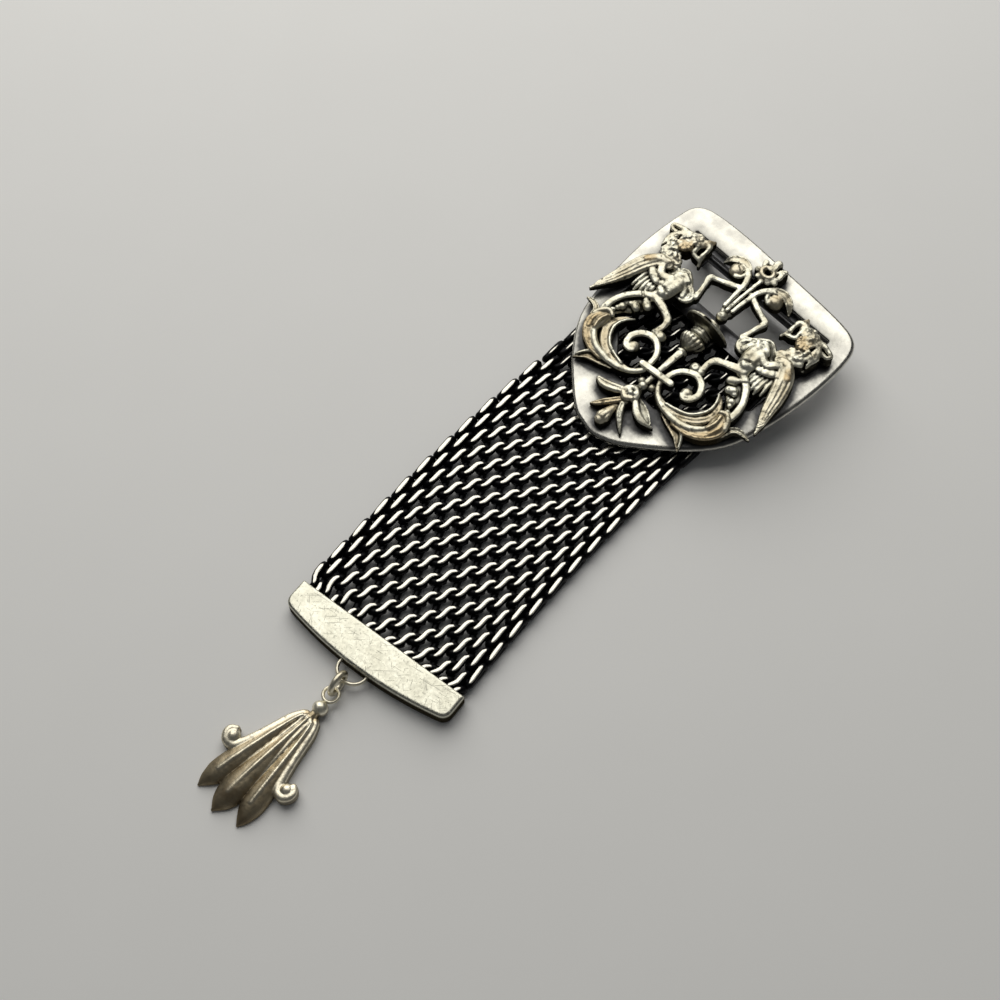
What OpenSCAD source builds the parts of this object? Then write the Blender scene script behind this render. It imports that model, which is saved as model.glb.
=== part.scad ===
// A charm brooch that lies face up: a shield plate with a window, an openwork crest of two
// griffins beside an urn, a woven wire ribbon, a folded end bar, a jump ring and a palmette drop.
// Millimetres. +Y is the way up when worn, +Z faces the viewer, and z = 0 is the surface below.

/* [Shield] */
// Width of the shield plate
shield_w = 34.6; // [33.6:0.2:35.6]
// Height of the shield plate, from its flat top to its point
shield_h = 38; // [37.5:0.1:38.5]
// Thickness of the shield plate
plate_t = 1.2; // [1:0.1:1.4]
// Width of the plate's border beside its window
border_w = 4.1; // [3.8:0.1:4.6]
// Rounding of the plate's rim, seen from above
rim_round = 0.9; // [0.4:0.1:1.1]
// Slope of the shield as it lies on its pin
shield_tilt = 6; // [5.5:0.25:6.5]
// Height of the plate's face above the surface, at the shield's middle
shield_z = 5.5; // [5.4:0.05:5.7]

/* [Crest] */
// Width of the crest across its wing tips
crest_w = 33.2; // [32.4:0.2:34]
// Height of the highest relief above the plate
relief_h = 3; // [2.4:0.1:3.4]
// Radius of the curled balls
curl_r = 1.1; // [0.9:0.05:1.2]

/* [Woven ribbon] */
// Width of the woven ribbon
ribbon_w = 26.4; // [25.4:0.1:26.6]
// Thickness of the woven ribbon
ribbon_t = 1.8; // [1.5:0.05:1.85]
// Sideways swing of the ribbon's lower end
ribbon_swing = 5.55; // [5.3:0.05:5.8]

/* [End bar] */
// Length of the end bar
bar_l = 26.4; // [26:0.1:27]
// Width of the end bar at its middle
bar_w = 5.45; // [5.2:0.05:5.7]
// Thickness of the end bar
bar_t = 2.6; // [2.5:0.05:2.8]
// Angle of the end bar across the brooch
bar_turn = 11.4; // [11:0.1:12]

/* [Rings and drop] */
// Wire of the loop that is soldered to the end bar
loop_wire = 0.5; // [0.4:0.05:0.55]
// Wire of the jump ring
ring_wire = 0.85; // [0.7:0.05:0.9]
// Outer diameter of the jump ring
ring_d = 3.85; // [3.8:0.05:4]
// Width of the palmette drop across its curls
drop_w = 12.6; // [12:0.1:13]
// Diameter of the drop's bead
bead_d = 2.1; // [1.8:0.1:2.2]
// Height of the drop's middle lobe
drop_t = 2.2; // [1.8:0.1:2.6]

/* [Pin] */
// Length of the pin's base strip
pin_l = 27; // [24:0.5:28]
// Thickness of the pin's needle
needle_d = 1.1; // [0.9:0.05:1.2]

/* [Hidden] */

gap = 0.05;
half_w = shield_w / 2;
crest_scale = crest_w / 33.2;

// Middle of the whole brooch, measured from the shield's middle
middle_x = 0.457;
middle_y = -38.61;

// Right half of the shield's outline, from its point to the middle of its top: columns x, y
SHIELD = [[0, -22.05], [2.2, -21.5], [5.0, -19.8], [10.25, -15], [14.3, -10], [16.1, -5], [16.95, 0],
          [17.3, 4.5], [17.2, 8.5], [16.95, 11.2], [16.4, 13.3], [15.1, 14.7], [12.5, 15.45], [7, 15.85],
          [0, 15.95]];
shield_scale = [shield_w / 34.6, shield_h / 38];
top_y = 15.95 * shield_scale[1];
point_y = -22.05 * shield_scale[1];

// Window in the plate: its top, the foot of its sides, and its foot
window_top = top_y - 3.9;
window_side_y = -3.8;
window_foot_y = -13.2;
window_foot_w = 7.6;

// Folded hanger that grips the ribbon's upper end, in the shield's own plane
hanger_y = 3.2;
hanger_h = 3.4;
hanger_t = 2.6;
hanger_l = 2 * (half_w - border_w) + 4;
sheet_t = 0.34;

// Ribbon: where it meets the shield's point, where it starts to swing, and how it is gripped
ribbon_x = -0.85;
ribbon_rest = 0.05;
ribbon_pinch = 1.6;
swing_y = -18;
bar_y = -63.3;
swing_power = 1.47;
ribbon_top_y = hanger_y + 0.5;
ribbon_foot_y = bar_y - 2.9;
grip_z = 0.4;
lift_run = 5;
stations = 26;

// Jump ring, loop and eye, measured from the shield's middle
loop_u = -0.78;
loop_r = 1.9;
loop_z = 1.5;
loop_reach = 0.38;
ring_at = [5.7, -71.62];
ring_turn = 14;
ring_lean = 12;
eye_wire = 0.34;
eye_r = 1.05;
eye_x = -0.36;
eye_z = 1.3;
drop_at = [6.6, -75.27];
drop_turn = 4;

// Curve through a table of rows, each with the same columns
function curve(a, b, c, d, t) =
    0.5 * (2 * b + (c - a) * t + (2 * a - 5 * b + 4 * c - d) * t * t + (3 * b - a - 3 * c + d) * t * t * t);
function smooth_rows(rows, steps) = concat(
    [for (i = [0:len(rows) - 2], k = [0:steps - 1])
        curve(rows[max(i - 1, 0)], rows[i], rows[i + 1], rows[min(i + 2, len(rows) - 1)], k / steps)],
    [rows[len(rows) - 1]]);

// Heading of a row list in plan, from its neighbours
function heading(rows, i) =
    let (a = rows[max(i - 1, 0)], b = rows[min(i + 1, len(rows) - 1)], d = [b[0] - a[0], b[1] - a[1]])
    d / norm(d);

// Cross-section of a raised strand: sideways and upward parts of its width and height
STRAND = [[-0.4, -0.2], [-0.5, 0.42], [-0.22, 0.96], [0.22, 0.96], [0.5, 0.42], [0.4, -0.2]];

// Solid swept through rows of x, y, base height, width, height
module sweep(rows, section = STRAND) {
    m = len(section);
    n = len(rows);
    points = [for (i = [0:n - 1]) let (r = rows[i], t = heading(rows, i)) for (s = section)
        [r[0] - t[1] * s[0] * r[3], r[1] + t[0] * s[0] * r[3], r[2] + s[1] * r[4]]];
    sides = [for (i = [0:n - 2], k = [0:m - 1])
        [i * m + k, i * m + (k + 1) % m, (i + 1) * m + (k + 1) % m, (i + 1) * m + k]];
    foot = [for (k = [0:m - 1]) m - 1 - k];
    head = [for (k = [0:m - 1]) (n - 1) * m + k];
    polyhedron(points = points, faces = concat(sides, [foot, head]), convexity = 6);
}

// Raised strand through a short table of x, y, base height, width, height
module strand(rows) {
    sweep(smooth_rows(rows, 2));
}

// Flattened ball that stands on a base height
module boss(x, y, base, r, h) {
    translate([x, y, base + h / 2]) scale([1, 1, h / (2 * r)]) sphere(r = r, $fn = 8);
}

// Smooth lump between two flattened balls: each end is x, y, base height, radius, height
module lump(a, b) {
    hull() {
        boss(a[0], a[1], a[2], a[3], a[4]);
        boss(b[0], b[1], b[2], b[3], b[4]);
    }
}

// Cuts a relief's underside flat, just above the face that it lies on
module flat_back() {
    difference() {
        union() children();
        translate([-shield_w, -shield_w, -2]) cube([2 * shield_w, 2 * shield_w, 2 + gap]);
    }
}

module both_sides() {
    children();
    mirror([1, 0, 0]) children();
}

// Moves a piece from the shield's middle to the brooch's own frame
module in_brooch() {
    translate([-middle_x, -middle_y, 0]) children();
}

// Puts a piece in the shield's plane: its face is z = 0 there
module in_shield() {
    in_brooch() translate([0, 0, shield_z]) rotate([shield_tilt, 0, 0]) children();
}

// Puts a piece in the end bar's frame: the ribbon's edge is y = 0 and the drop hangs to -y
module in_bar() {
    in_brooch() translate([ribbon_x_at(bar_y), bar_y, 0]) rotate([0, 0, bar_turn]) children();
}

function ribbon_x_at(y) =
    ribbon_x + ribbon_swing * pow(max(0, swing_y - y) / (swing_y - bar_y), swing_power);

// Heater shield outline, drawn in by inset
module shield_outline(inset) {
    n = len(SHIELD);
    left = [for (i = [n - 2:-1:1]) [-SHIELD[i][0], SHIELD[i][1]]];
    ring = concat(SHIELD, left);
    m = len(ring);
    rim = [for (i = [0:m - 1], k = [0:1])
        curve(ring[(i + m - 1) % m], ring[i], ring[(i + 1) % m], ring[(i + 2) % m], k / 2)];
    offset(delta = -inset) scale(shield_scale) polygon(rim);
}

// Shield plate with a softly rounded rim and a window behind the crest
module shield_plate() {
    window_w = half_w - border_w;
    color([0.78, 0.76, 0.71]) in_shield() difference() {
        hull() {
            translate([0, 0, -plate_t]) linear_extrude(gap) shield_outline(0.35 * rim_round);
            translate([0, 0, -plate_t / 2]) linear_extrude(gap) shield_outline(0);
            translate([0, 0, -0.25 * plate_t]) linear_extrude(gap) shield_outline(0.3 * rim_round);
            translate([0, 0, -gap]) linear_extrude(gap) shield_outline(rim_round);
        }
        translate([0, 0, -2 * plate_t]) linear_extrude(3 * plate_t)
            polygon([[-window_w, window_top], [window_w, window_top], [window_w, window_side_y],
                     [window_foot_w / 2, window_foot_y], [-window_foot_w / 2, window_foot_y],
                     [-window_w, window_side_y]]);
    }
}

// Flowering stem between the griffins: columns x, y, base, width, height
module crest_stem() {
    strand([[0, 4.4, 0.3, 1.1, 1.5], [0, 8, 0.3, 1.0, 1.7], [0, 12.4, 0.1, 1.0, 1.8]]);
    both_sides() {
        strand([[0.6, 5.0, 0.3, 0.9, 1.4], [0.9, 8.0, 0.3, 0.9, 1.6], [1.3, 9.8, 0.3, 1.0, 1.8],
                [2.2, 11.2, 0.2, 1.1, 1.8], [3.6, 11.9, 0.1, 1.2, 1.7], [5.2, 11.6, gap, 1.0, 1.4],
                [6.6, 10.6, gap, 0.35, 0.7]]);
        boss(3.65, 10.5, 0.2, curl_r, 1.9);
        strand([[2.3, 11.4, 0.2, 0.9, 1.5], [2.3, 10.7, 0.2, 0.8, 1.5], [3.3, 10.2, 0.2, 0.9, 1.5]]);
    }
    boss(0, 13.5, gap, 1.6, 2.2);
    for (a = [0:60:300]) {
        lump([1.1 * sin(a), 13.6 + 1.1 * cos(a), gap, 0.6, 2.3], [1.5 * sin(a), 13.7 + 1.7 * cos(a), gap, 0.5, 1.7]);
    }
    lump([0, 4.4, 0.3, 0.75, 1.5], [0, 2.8, 0.3, 0.6, 1.3]);
}

// Griffin: head, neck, breast, wing and limbs, for the right-hand side
module griffin() {
    // Raised foreleg and its paw
    strand([[1.1, 8.5, 0.5, 0.8, 1.1], [3.6, 7.6, 0.6, 0.75, 1.0], [5.3, 6.9, 0.6, 0.85, 1.1],
            [5.2, 5.5, 0.6, 0.7, 1.0], [4.7, 3.8, 0.5, 0.7, 1.0], [4.75, 2.8, 0.52, 0.85, 1.0]]);
    strand([[10.0, 4.6, 0.3, 1.1, 1.8], [8.4, 5.1, 0.4, 1.1, 1.7], [7.0, 4.3, 0.4, 1.0, 1.6],
            [6.0, 3.35, 0.4, 1.0, 1.5], [4.5, 2.5, 0.3, 1.4, 1.45]]);
    // Breast and flank
    strand([[10.4, 4.4, 0.1, 2.0, 2.1], [8.9, 3.5, 0.1, 3.0, 2.8], [8.2, 1.8, 0.1, 3.2, 2.8],
            [7.9, 0.1, 0.1, 2.0, 2.2], [8.4, -1.3, 0.1, 1.2, 1.7]]);
    // Neck that arches up to the head
    strand([[10.0, 4.2, 0.1, 2.0, 2.2], [11.8, 4.9, 0.1, 2.2, 2.4], [13.4, 5.9, 0.1, 2.2, 2.6],
            [14.1, 7.5, 0.1, 2.3, 0.93 * relief_h], [13.1, 9.2, 0.1, 2.6, relief_h],
            [11.3, 9.7, 0.1, 2.6, relief_h], [9.8, 9.6, 0.1, 2.2, 0.93 * relief_h]]);
    lump([9.6, 9.6, 0.2, 1.3, 2.7], [8.9, 8.8, 0.2, 0.9, 2.4]);
    strand([[9.2, 9.0, 0.3, 1.5, 2.1], [8.7, 8.2, 0.3, 1.0, 1.7], [8.3, 7.3, 0.3, 0.4, 0.9]]);
    strand([[9.1, 10.0, 0.2, 1.1, 2.4], [8.9, 10.8, 0.2, 0.9, 2.2], [8.8, 11.5, 0.2, 0.4, 1.4]]);
    lump([12.2, 8.2, 0.2, 1.1, 2.9], [11.8, 8.1, 0.2, 0.7, 2.4]);
    strand([[12.2, 10.4, 0.2, 1.2, 2.3], [14.2, 10.0, 0.2, 1.1, 1.9], [15.4, 9.4, gap, 0.5, 1.0]]);
    strand([[13.7, 8.8, 0.2, 1.2, 2.3], [14.9, 8.0, 0.2, 0.9, 1.9], [15.3, 6.8, gap, 0.4, 0.9]]);
    // Wing: a long outer blade and a fan of small feathers
    strand([[11.2, 4.1, 0.1, 1.6, 2.3], [13.2, 3.2, 0.1, 2.1, 2.6], [14.7, 0.9, 0.1, 2.3, 2.2],
            [15.5, -1.8, gap, 1.9, 1.8], [16.1, -4.4, gap, 1.1, 1.3], [16.6, -6.4, gap, 0.4, 0.7]]);
    for (feather = [0:3]) {
        strand([[10.2 + 0.9 * feather, 2.6, 0.1, 1.1, 2.2], [10.6 + 0.9 * feather, 0.7, 0.1, 1.1, 1.7],
                [10.9 + 0.8 * feather, -1.1 + 0.25 * feather, 0.1, 0.6, 0.9]]);
    }
    // Hind leg that stands on a bead
    strand([[8.55, -0.95, 0.35, 1.4, 1.6], [6.8, -1.5, 0.4, 1.0, 1.4], [5.0, -2.3, 0.4, 1.1, 1.3],
            [4.3, -3.2, 0.4, 0.8, 1.2], [4.0, -4.5, 0.4, 0.9, 1.2]]);
    lump([3.8, -4.9, 0.3, 0.8, 1.6], [3.6, -5.2, 0.3, 0.8, 1.6]);
    // Ribbed tail between two edges
    strand([[8.4, -0.9, 0.1, 1.2, 1.9], [10.4, -2.1, 0.1, 1.2, 1.9], [11.9, -4.2, 0.1, 1.2, 1.9],
            [12.4, -6.5, 0.1, 1.2, 1.8], [12.0, -8.6, 0.1, 1.5, 1.8]]);
    strand([[8.0, -2.4, 0.2, 1.5, 1.4], [9.4, -3.6, 0.2, 2.4, 1.6], [10.6, -5.3, 0.2, 2.2, 1.5],
            [11.3, -7.4, 0.2, 1.6, 1.4]]);
}

// Acanthus scroll, leaves and small curl below the griffin, for the right-hand side
module acanthus() {
    strand([[0.9, -10.1, 0.3, 1.0, 1.2], [2.3, -11.8, 0.2, 1.2, 1.4], [4.5, -12.8, 0.1, 1.4, 1.7],
            [7.2, -12.8, 0.1, 2.1, 2.0], [9.9, -11.8, 0.1, 2.8, 2.3], [11.7, -9.8, 0.1, 2.8, 2.3],
            [11.3, -7.9, 0.1, 2.0, 2.0], [10.1, -6.7, 0.1, 1.2, 1.6], [8.7, -5.9, 0.2, 0.4, 0.9]]);
    strand([[12.4, -9.8, 0.1, 1.6, 1.8], [13.5, -8.5, gap, 1.3, 1.6], [14.8, -7.7, gap, 1.0, 1.3],
            [16.2, -7.5, gap, 0.35, 0.7]]);
    strand([[5.8, -13.1, 0.1, 1.3, 1.7], [8.1, -13.5, 0.1, 1.3, 1.6], [9.3, -14.4, gap, 0.9, 1.2],
            [9.8, -15.4, gap, 0.35, 0.6]]);
    strand([[1.5, -9.4, 0.3, 0.9, 1.4], [2.1, -7.6, 0.3, 0.9, 1.4], [3.5, -6.4, 0.3, 0.9, 1.5],
            [5.2, -6.3, 0.3, 0.9, 1.5], [6.5, -7.6, 0.3, 0.9, 1.5], [6.2, -9.0, 0.3, 0.9, 1.5]]);
    boss(5.2, -9.1, 0.3, curl_r, 1.9);
}

// Urn profile: columns radius, height along the axis
URN = [[0, 2.3], [0.9, 2.2], [1.2, 1.8], [3.7, 0.6], [3.9, 0.3], [2.0, -0.3], [1.5, -0.9], [2.1, -1.4],
       [2.1, -2.3], [1.6, -3.3], [0.7, -3.8], [0.9, -4.2], [0.9, -4.6], [0, -5.0]];
urn_flat = 0.68;
urn_base = 0.25;

// Urn on a tall stem: a turned form, flattened into relief
module urn() {
    intersection() {
        translate([0, 0, urn_base]) scale([1, 1, urn_flat]) rotate([-90, 0, 0])
            rotate_extrude($fn = 20) polygon(URN);
        translate([-half_w, -half_w, gap]) cube([shield_w, shield_w, relief_h]);
    }
    strand([[0, -4.15, 0.3, 1.1, 1.3], [0, -7, 0.32, 0.8, 1.3], [0, -9.55, 0.32, 0.7, 1.3]]);
}

// Tie bar, bead and hanging leaf on the axis
module hanging_leaf() {
    lump([-2.4, -9.6, 0.3, 0.5, 1.7], [2.4, -9.6, 0.3, 0.5, 1.7]);
    strand([[0, -9.3, 0.28, 0.82, 1.2], [0, -11.7, 0.2, 0.8, 1.2], [0, -14.2, gap, 0.9, 1.4]]);
    boss(0, -12.3, 0.1, 0.7, 1.7);
    lump([0, -14.1, gap, 1.0, 2.2], [0, -15.0, gap, 0.8, 1.9]);
    both_sides() {
        strand([[0.3, -14.2, gap, 1.4, 1.8], [2.5, -15.4, gap, 1.6, 1.6], [4.1, -15.9, gap, 1.1, 1.2],
                [5.4, -15.6, gap, 0.35, 0.6]]);
        strand([[0.2, -15.2, gap, 1.0, 1.6], [1.4, -17.2, gap, 1.0, 1.3], [2.3, -18.4, gap, 0.8, 1.0],
                [3.2, -19.0, gap, 0.3, 0.5]]);
    }
    strand([[0, -14.6, gap, 1.0, 1.6], [0, -16.8, gap, 0.8, 1.4], [0, -18.6, gap, 1.2, 1.5]]);
    lump([0, -18.4, gap, 0.9, 1.8], [0, -19.4, gap, 0.8, 1.4]);
}

// Openwork crest, one casting that lies on the plate
module griffin_crest() {
    color([0.72, 0.66, 0.52]) in_shield() scale([crest_scale, crest_scale, 1]) flat_back() {
        crest_stem();
        both_sides() {
            griffin();
            acanthus();
        }
        urn();
        hanging_leaf();
    }
}

// Folded hanger behind the plate, with a slot for the ribbon's upper end
module mesh_hanger() {
    slot_w = hanger_l - 1.2;
    slot_t = hanger_t - 2 * sheet_t;
    color([0.75, 0.74, 0.71]) in_shield() translate([0, hanger_y, -plate_t - gap - hanger_t / 2]) difference() {
        hull() {
            translate([-hanger_l / 2, 0, 0]) rotate([0, 90, 0]) cylinder(r = hanger_t / 2, h = hanger_l, $fn = 32);
            translate([-hanger_l / 2, hanger_t / 2 - hanger_h, -hanger_t / 2])
                cube([hanger_l, hanger_h / 2, hanger_t]);
        }
        translate([-slot_w / 2, -hanger_h, -slot_t / 2]) cube([slot_w, hanger_h + 0.4, slot_t]);
    }
}

// Height of the ribbon's underside: flat, lifted into the end bar and up behind the shield
function ramp(x, run) = x <= 0 ? 0 : x >= run ? x - run / 2 : x * x / (2 * run);
function ease(x) = let (t = min(max(x, 0), 1)) t * t * (3 - 2 * t);
lift_curve = 2;
slot_z = shield_z - (plate_t + gap + hanger_t / 2) / cos(shield_tilt);
lift_y = (ribbon_rest + ribbon_t / 2 - slot_z) / tan(shield_tilt) - lift_curve / 2;
function ribbon_z_at(y) =
    ribbon_rest + ramp(y - lift_y, lift_curve) * tan(shield_tilt)
    + (grip_z - ribbon_rest) * ease(1 - (y - bar_y) / lift_run);

// Width of the ribbon, pinched where a clamp grips it
grip_run = 1.5;
function ribbon_w_at(y) =
    ribbon_w - ribbon_pinch * (ease(1 - (y - bar_y) / grip_run) + ease(1 - (ribbon_top_y - 2.5 - y) / grip_run));

// Cross-section of the ribbon: full in the middle, rounded and thinner at its edges
RIBBON = [[-0.47, 0], [-0.5, 0.3], [-0.49, 0.65], [-0.44, 0.9], [-0.36, 1], [0.36, 1], [0.44, 0.9],
          [0.49, 0.65], [0.5, 0.3], [0.47, 0]];

// Woven ribbon, as one solid of its outer form
module mesh_band() {
    rows = [for (i = [0:stations]) let (y = ribbon_foot_y + (ribbon_top_y - ribbon_foot_y) * i / stations)
        [ribbon_x_at(y), y, ribbon_z_at(y), ribbon_w_at(y), min(ribbon_t, bar_t - 2 * sheet_t - 2 * gap)]];
    color([0.12, 0.12, 0.12]) in_brooch() sweep(rows, RIBBON);
}

// End bar outline with a curved lower edge and round corners, drawn in by inset
bar_end_w = 3.9;
bar_corner = 1.4;
bar_sag = bar_w - bar_end_w;
edge_r = (pow(bar_l / 2, 2) + bar_sag * bar_sag) / (2 * bar_sag);
corner_x = bar_l / 2 - bar_corner;
corner_a = asin(corner_x / (edge_r - bar_corner));
corner_y = edge_r - bar_w - (edge_r - bar_corner) * cos(corner_a);
module bar_outline(inset) {
    r = bar_corner - inset;
    corner = [for (i = [0:5]) let (a = (90 - corner_a) * i / 5) [corner_x + r * cos(a), corner_y - r * sin(a)]];
    edge = [for (i = [5:-1:-5]) let (a = corner_a * i / 6)
        [(edge_r - inset) * sin(a), edge_r - bar_w - (edge_r - inset) * cos(a)]];
    far_corner = [for (i = [5:-1:0]) [-corner[i][0], corner[i][1]]];
    top = [[inset - bar_l / 2, -inset], [bar_l / 2 - inset, -inset]];
    polygon(concat(corner, edge, far_corner, top));
}

// End bar folded over the ribbon's lower end, with its soldered loop
module end_bar() {
    slot_t = bar_t - 2 * sheet_t;
    color([0.80, 0.78, 0.70]) in_bar() {
        difference() {
            hull() {
                linear_extrude(gap) bar_outline(0.25);
                translate([0, 0, 0.3]) linear_extrude(gap) bar_outline(0);
                translate([0, 0, bar_t - 0.5]) linear_extrude(gap) bar_outline(0);
                translate([0, 0, bar_t - gap]) linear_extrude(gap) bar_outline(0.35);
            }
            translate([-bar_l / 2 + 0.6, -3.4, sheet_t]) cube([bar_l - 1.2, 3.4 + 1, slot_t]);
        }
        translate([loop_u, -bar_w - loop_reach, loop_z])
            rotate_extrude($fn = 48) translate([loop_r, 0]) circle(d = loop_wire, $fn = 24);
    }
}

// Jump ring that joins the bar's loop to the drop's eye
module jump_ring() {
    path_r = (ring_d - ring_wire) / 2;
    color([0.62, 0.56, 0.42]) in_brooch()
        translate([ring_at[0], ring_at[1], cos(ring_lean) * path_r + ring_wire / 2 + gap])
        rotate([0, 0, ring_turn]) rotate([0, 90 + ring_lean, 0])
        rotate_extrude($fn = 64) translate([path_r, 0]) circle(d = ring_wire, $fn = 32);
}

// Fluted palmette with a bead and a wire eye, one casting. It hangs to -y from its bead.
module palmette_drop() {
    k = drop_w / 12.6;
    color([0.60, 0.52, 0.38]) in_brooch() translate([drop_at[0], drop_at[1], 0]) rotate([0, 0, drop_turn])
    flat_back() {
        translate([eye_x, bead_d / 2 + eye_r + 2 * gap, eye_z])
            rotate_extrude($fn = 16) translate([eye_r, 0]) circle(d = eye_wire, $fn = 8);
        translate([0, 0, bead_d / 2 + gap]) sphere(d = bead_d, $fn = 16);
        lump([0, 0.7, 0.85, 0.3, 0.7], [-0.15, 1.1, 1.05, 0.25, 0.5]);
        lump([0, -0.6, 0.4, 0.5, 1.2], [0, -2.2, 0.3, 0.6, 1.4]);
        // Middle lobe, side lobes and curled strands: columns x, y, base, width, height
        strand([[0, -1.4, gap, 1.5, 1.5], [0, -5, gap, 2.0, 1.7], [0, -10, gap, 2.6, 0.95 * drop_t],
                [0, -13.6, gap, 3.3, drop_t], [0, -15.9, gap, 2.5, 0.7 * drop_t], [0, -17.9, gap, 0.5, 0.5]]);
        both_sides() {
            strand([[k * 0.6, -1.6, gap, 1.2, 1.4], [k * 1.2, -5, gap, 1.8, 1.6], [k * 2.2, -10, gap, 2.4, 1.8],
                    [k * 3.3, -13.0, gap, 2.9, 1.9], [k * 3.8, -15.1, gap, 2.1, 1.3], [k * 3.7, -16.6, gap, 0.5, 0.4]]);
            strand([[k * 1.1, -1.9, gap, 1.1, 1.2], [k * 2.0, -3.5, gap, 1.3, 1.4], [k * 2.8, -6.5, gap, 1.3, 1.5],
                    [k * 3.8, -9.5, gap, 1.3, 1.5], [k * 4.9, -11.1, gap, 1.4, 1.5], [k * 5.7, -11.0, gap, 1.2, 1.6]]);
            lump([k * 5.3, -10.5, gap, 0.9, 1.9], [k * 5.3, -9.9, gap, 0.8, 1.5]);
            lump([k * 0.9, -2.4, gap, 0.8, 1.3], [k * 1.6, -3.0, gap, 0.6, 1.2]);
            lump([k * 0.7, -4.5, gap, 0.9, 1.2], [k * 1.8, -13.2, gap, 1.3, 1.3]);
            lump([k * 1.7, -4.5, gap, 1.0, 1.2], [k * 3.6, -10.8, gap, 1.3, 1.3]);
        }
        lump([0, -2.4, gap, 1.0, 1.2], [0, -6, gap, 1.2, 1.4]);
    }
}

// Plain pin on the plate's back: base strip, two posts and a needle between them
strip_w = 2.6;
strip_t = 0.8;
post_l = 2.4;
post_in = 1.2;
needle_up = 1.3;
module pin_back() {
    strip_y = window_top + 0.6;
    back_z = -plate_t - gap;
    clear = 0.03;
    rise = shield_z + (strip_y - strip_w / 2) * sin(shield_tilt) - clear;
    post_h = rise / cos(shield_tilt) + back_z - strip_t;
    color([0.66, 0.64, 0.60]) in_shield() translate([0, strip_y, back_z - strip_t]) {
        translate([-pin_l / 2, -strip_w / 2, 0]) cube([pin_l, strip_w, strip_t]);
        for (side = [-1, 1]) {
            translate([side * (pin_l / 2 - post_in) - post_l / 2, -strip_w / 2, -post_h])
                cube([post_l, strip_w, post_h + gap]);
        }
        translate([-pin_l / 2 + post_in, 0, needle_up - post_h]) rotate([0, 90, 0])
            cylinder(d = needle_d, h = pin_l - 2 * post_in, $fn = 24);
    }
}

shield_plate();
griffin_crest();
mesh_hanger();
mesh_band();
end_bar();
jump_ring();
palmette_drop();
pin_back();
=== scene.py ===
"""Looks of a charm brooch: pierced shield, griffin crest, woven wire ribbon, end bar and palmette drop.

Shapes are worked out in millimetres, in each piece's own frame, and become metres in the brooch's frame
when a mesh is made.
"""

import logging
import math
from dataclasses import dataclass, field
from enum import Enum

import bpy
import numpy as np
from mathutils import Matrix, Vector


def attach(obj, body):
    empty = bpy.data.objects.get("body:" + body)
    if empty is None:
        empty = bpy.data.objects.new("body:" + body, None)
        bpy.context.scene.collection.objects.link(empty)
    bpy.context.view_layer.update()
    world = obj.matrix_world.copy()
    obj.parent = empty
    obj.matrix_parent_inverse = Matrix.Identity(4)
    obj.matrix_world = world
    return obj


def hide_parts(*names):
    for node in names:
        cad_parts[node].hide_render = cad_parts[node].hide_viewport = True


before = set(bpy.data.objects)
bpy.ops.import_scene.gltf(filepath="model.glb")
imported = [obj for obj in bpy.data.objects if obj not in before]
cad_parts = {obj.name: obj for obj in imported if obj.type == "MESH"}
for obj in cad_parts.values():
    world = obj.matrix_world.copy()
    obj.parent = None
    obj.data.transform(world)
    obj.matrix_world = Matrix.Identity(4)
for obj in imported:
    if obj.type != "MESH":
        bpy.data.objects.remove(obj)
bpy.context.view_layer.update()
MM = 0.001
FAR = 1e9
TINY = 1e-9
Array = np.ndarray
Row = tuple[float, ...]
Colour = tuple[float, float, float]
Part = tuple[slice, slice, slice]
WHOLE = (slice(None),) * 3
WHITE = (1.0, 1.0, 1.0)

logging.basicConfig(level=logging.INFO, format="%(name)s: %(message)s")
log = logging.getLogger("brooch")

# Middle of the whole brooch, measured from the shield's middle
MIDDLE = (0.457, -38.61)


@dataclass(frozen=True)
class Place:
    """A piece's own frame in the brooch's frame: a tilt about X, a turn about Z, then a shift."""

    shift: tuple[float, float, float]
    tilt: float = 0.0
    turn: float = 0.0

    def put(self, points: Array) -> Array:
        """Moves points from the piece's frame to the brooch's frame.

        Args:
            points: rows of x, y, z in millimetres.

        Returns:
            The moved points, in millimetres.
        """
        a, b = math.radians(self.tilt), math.radians(self.turn)
        x, y, z = np.asarray(points, float).T
        y, z = y * math.cos(a) - z * math.sin(a), y * math.sin(a) + z * math.cos(a)
        x, y = x * math.cos(b) - y * math.sin(b), x * math.sin(b) + y * math.cos(b)
        return np.column_stack((x, y, z)) + np.array(self.shift) - np.array((*MIDDLE, 0.0))


SHIELD_PLACE = Place((0.0, 0.0, 5.5), tilt=6.0)
UPPER_PLACE = Place((0.15, 0.0, 5.5), tilt=6.0)
LOWER_PLACE = Place((0.42, 0.0, 5.5), tilt=6.0)
BAR_PLACE = Place((4.70, -63.3, 0.0), turn=11.4)
DROP_PLACE = Place((6.6, -75.27, 0.0), turn=4.0)
RING_PLACE = Place((5.7, -71.62, 0.0), turn=14.0)
RIBBON_PLACE = Place((0.0, 0.0, 0.0))


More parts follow.
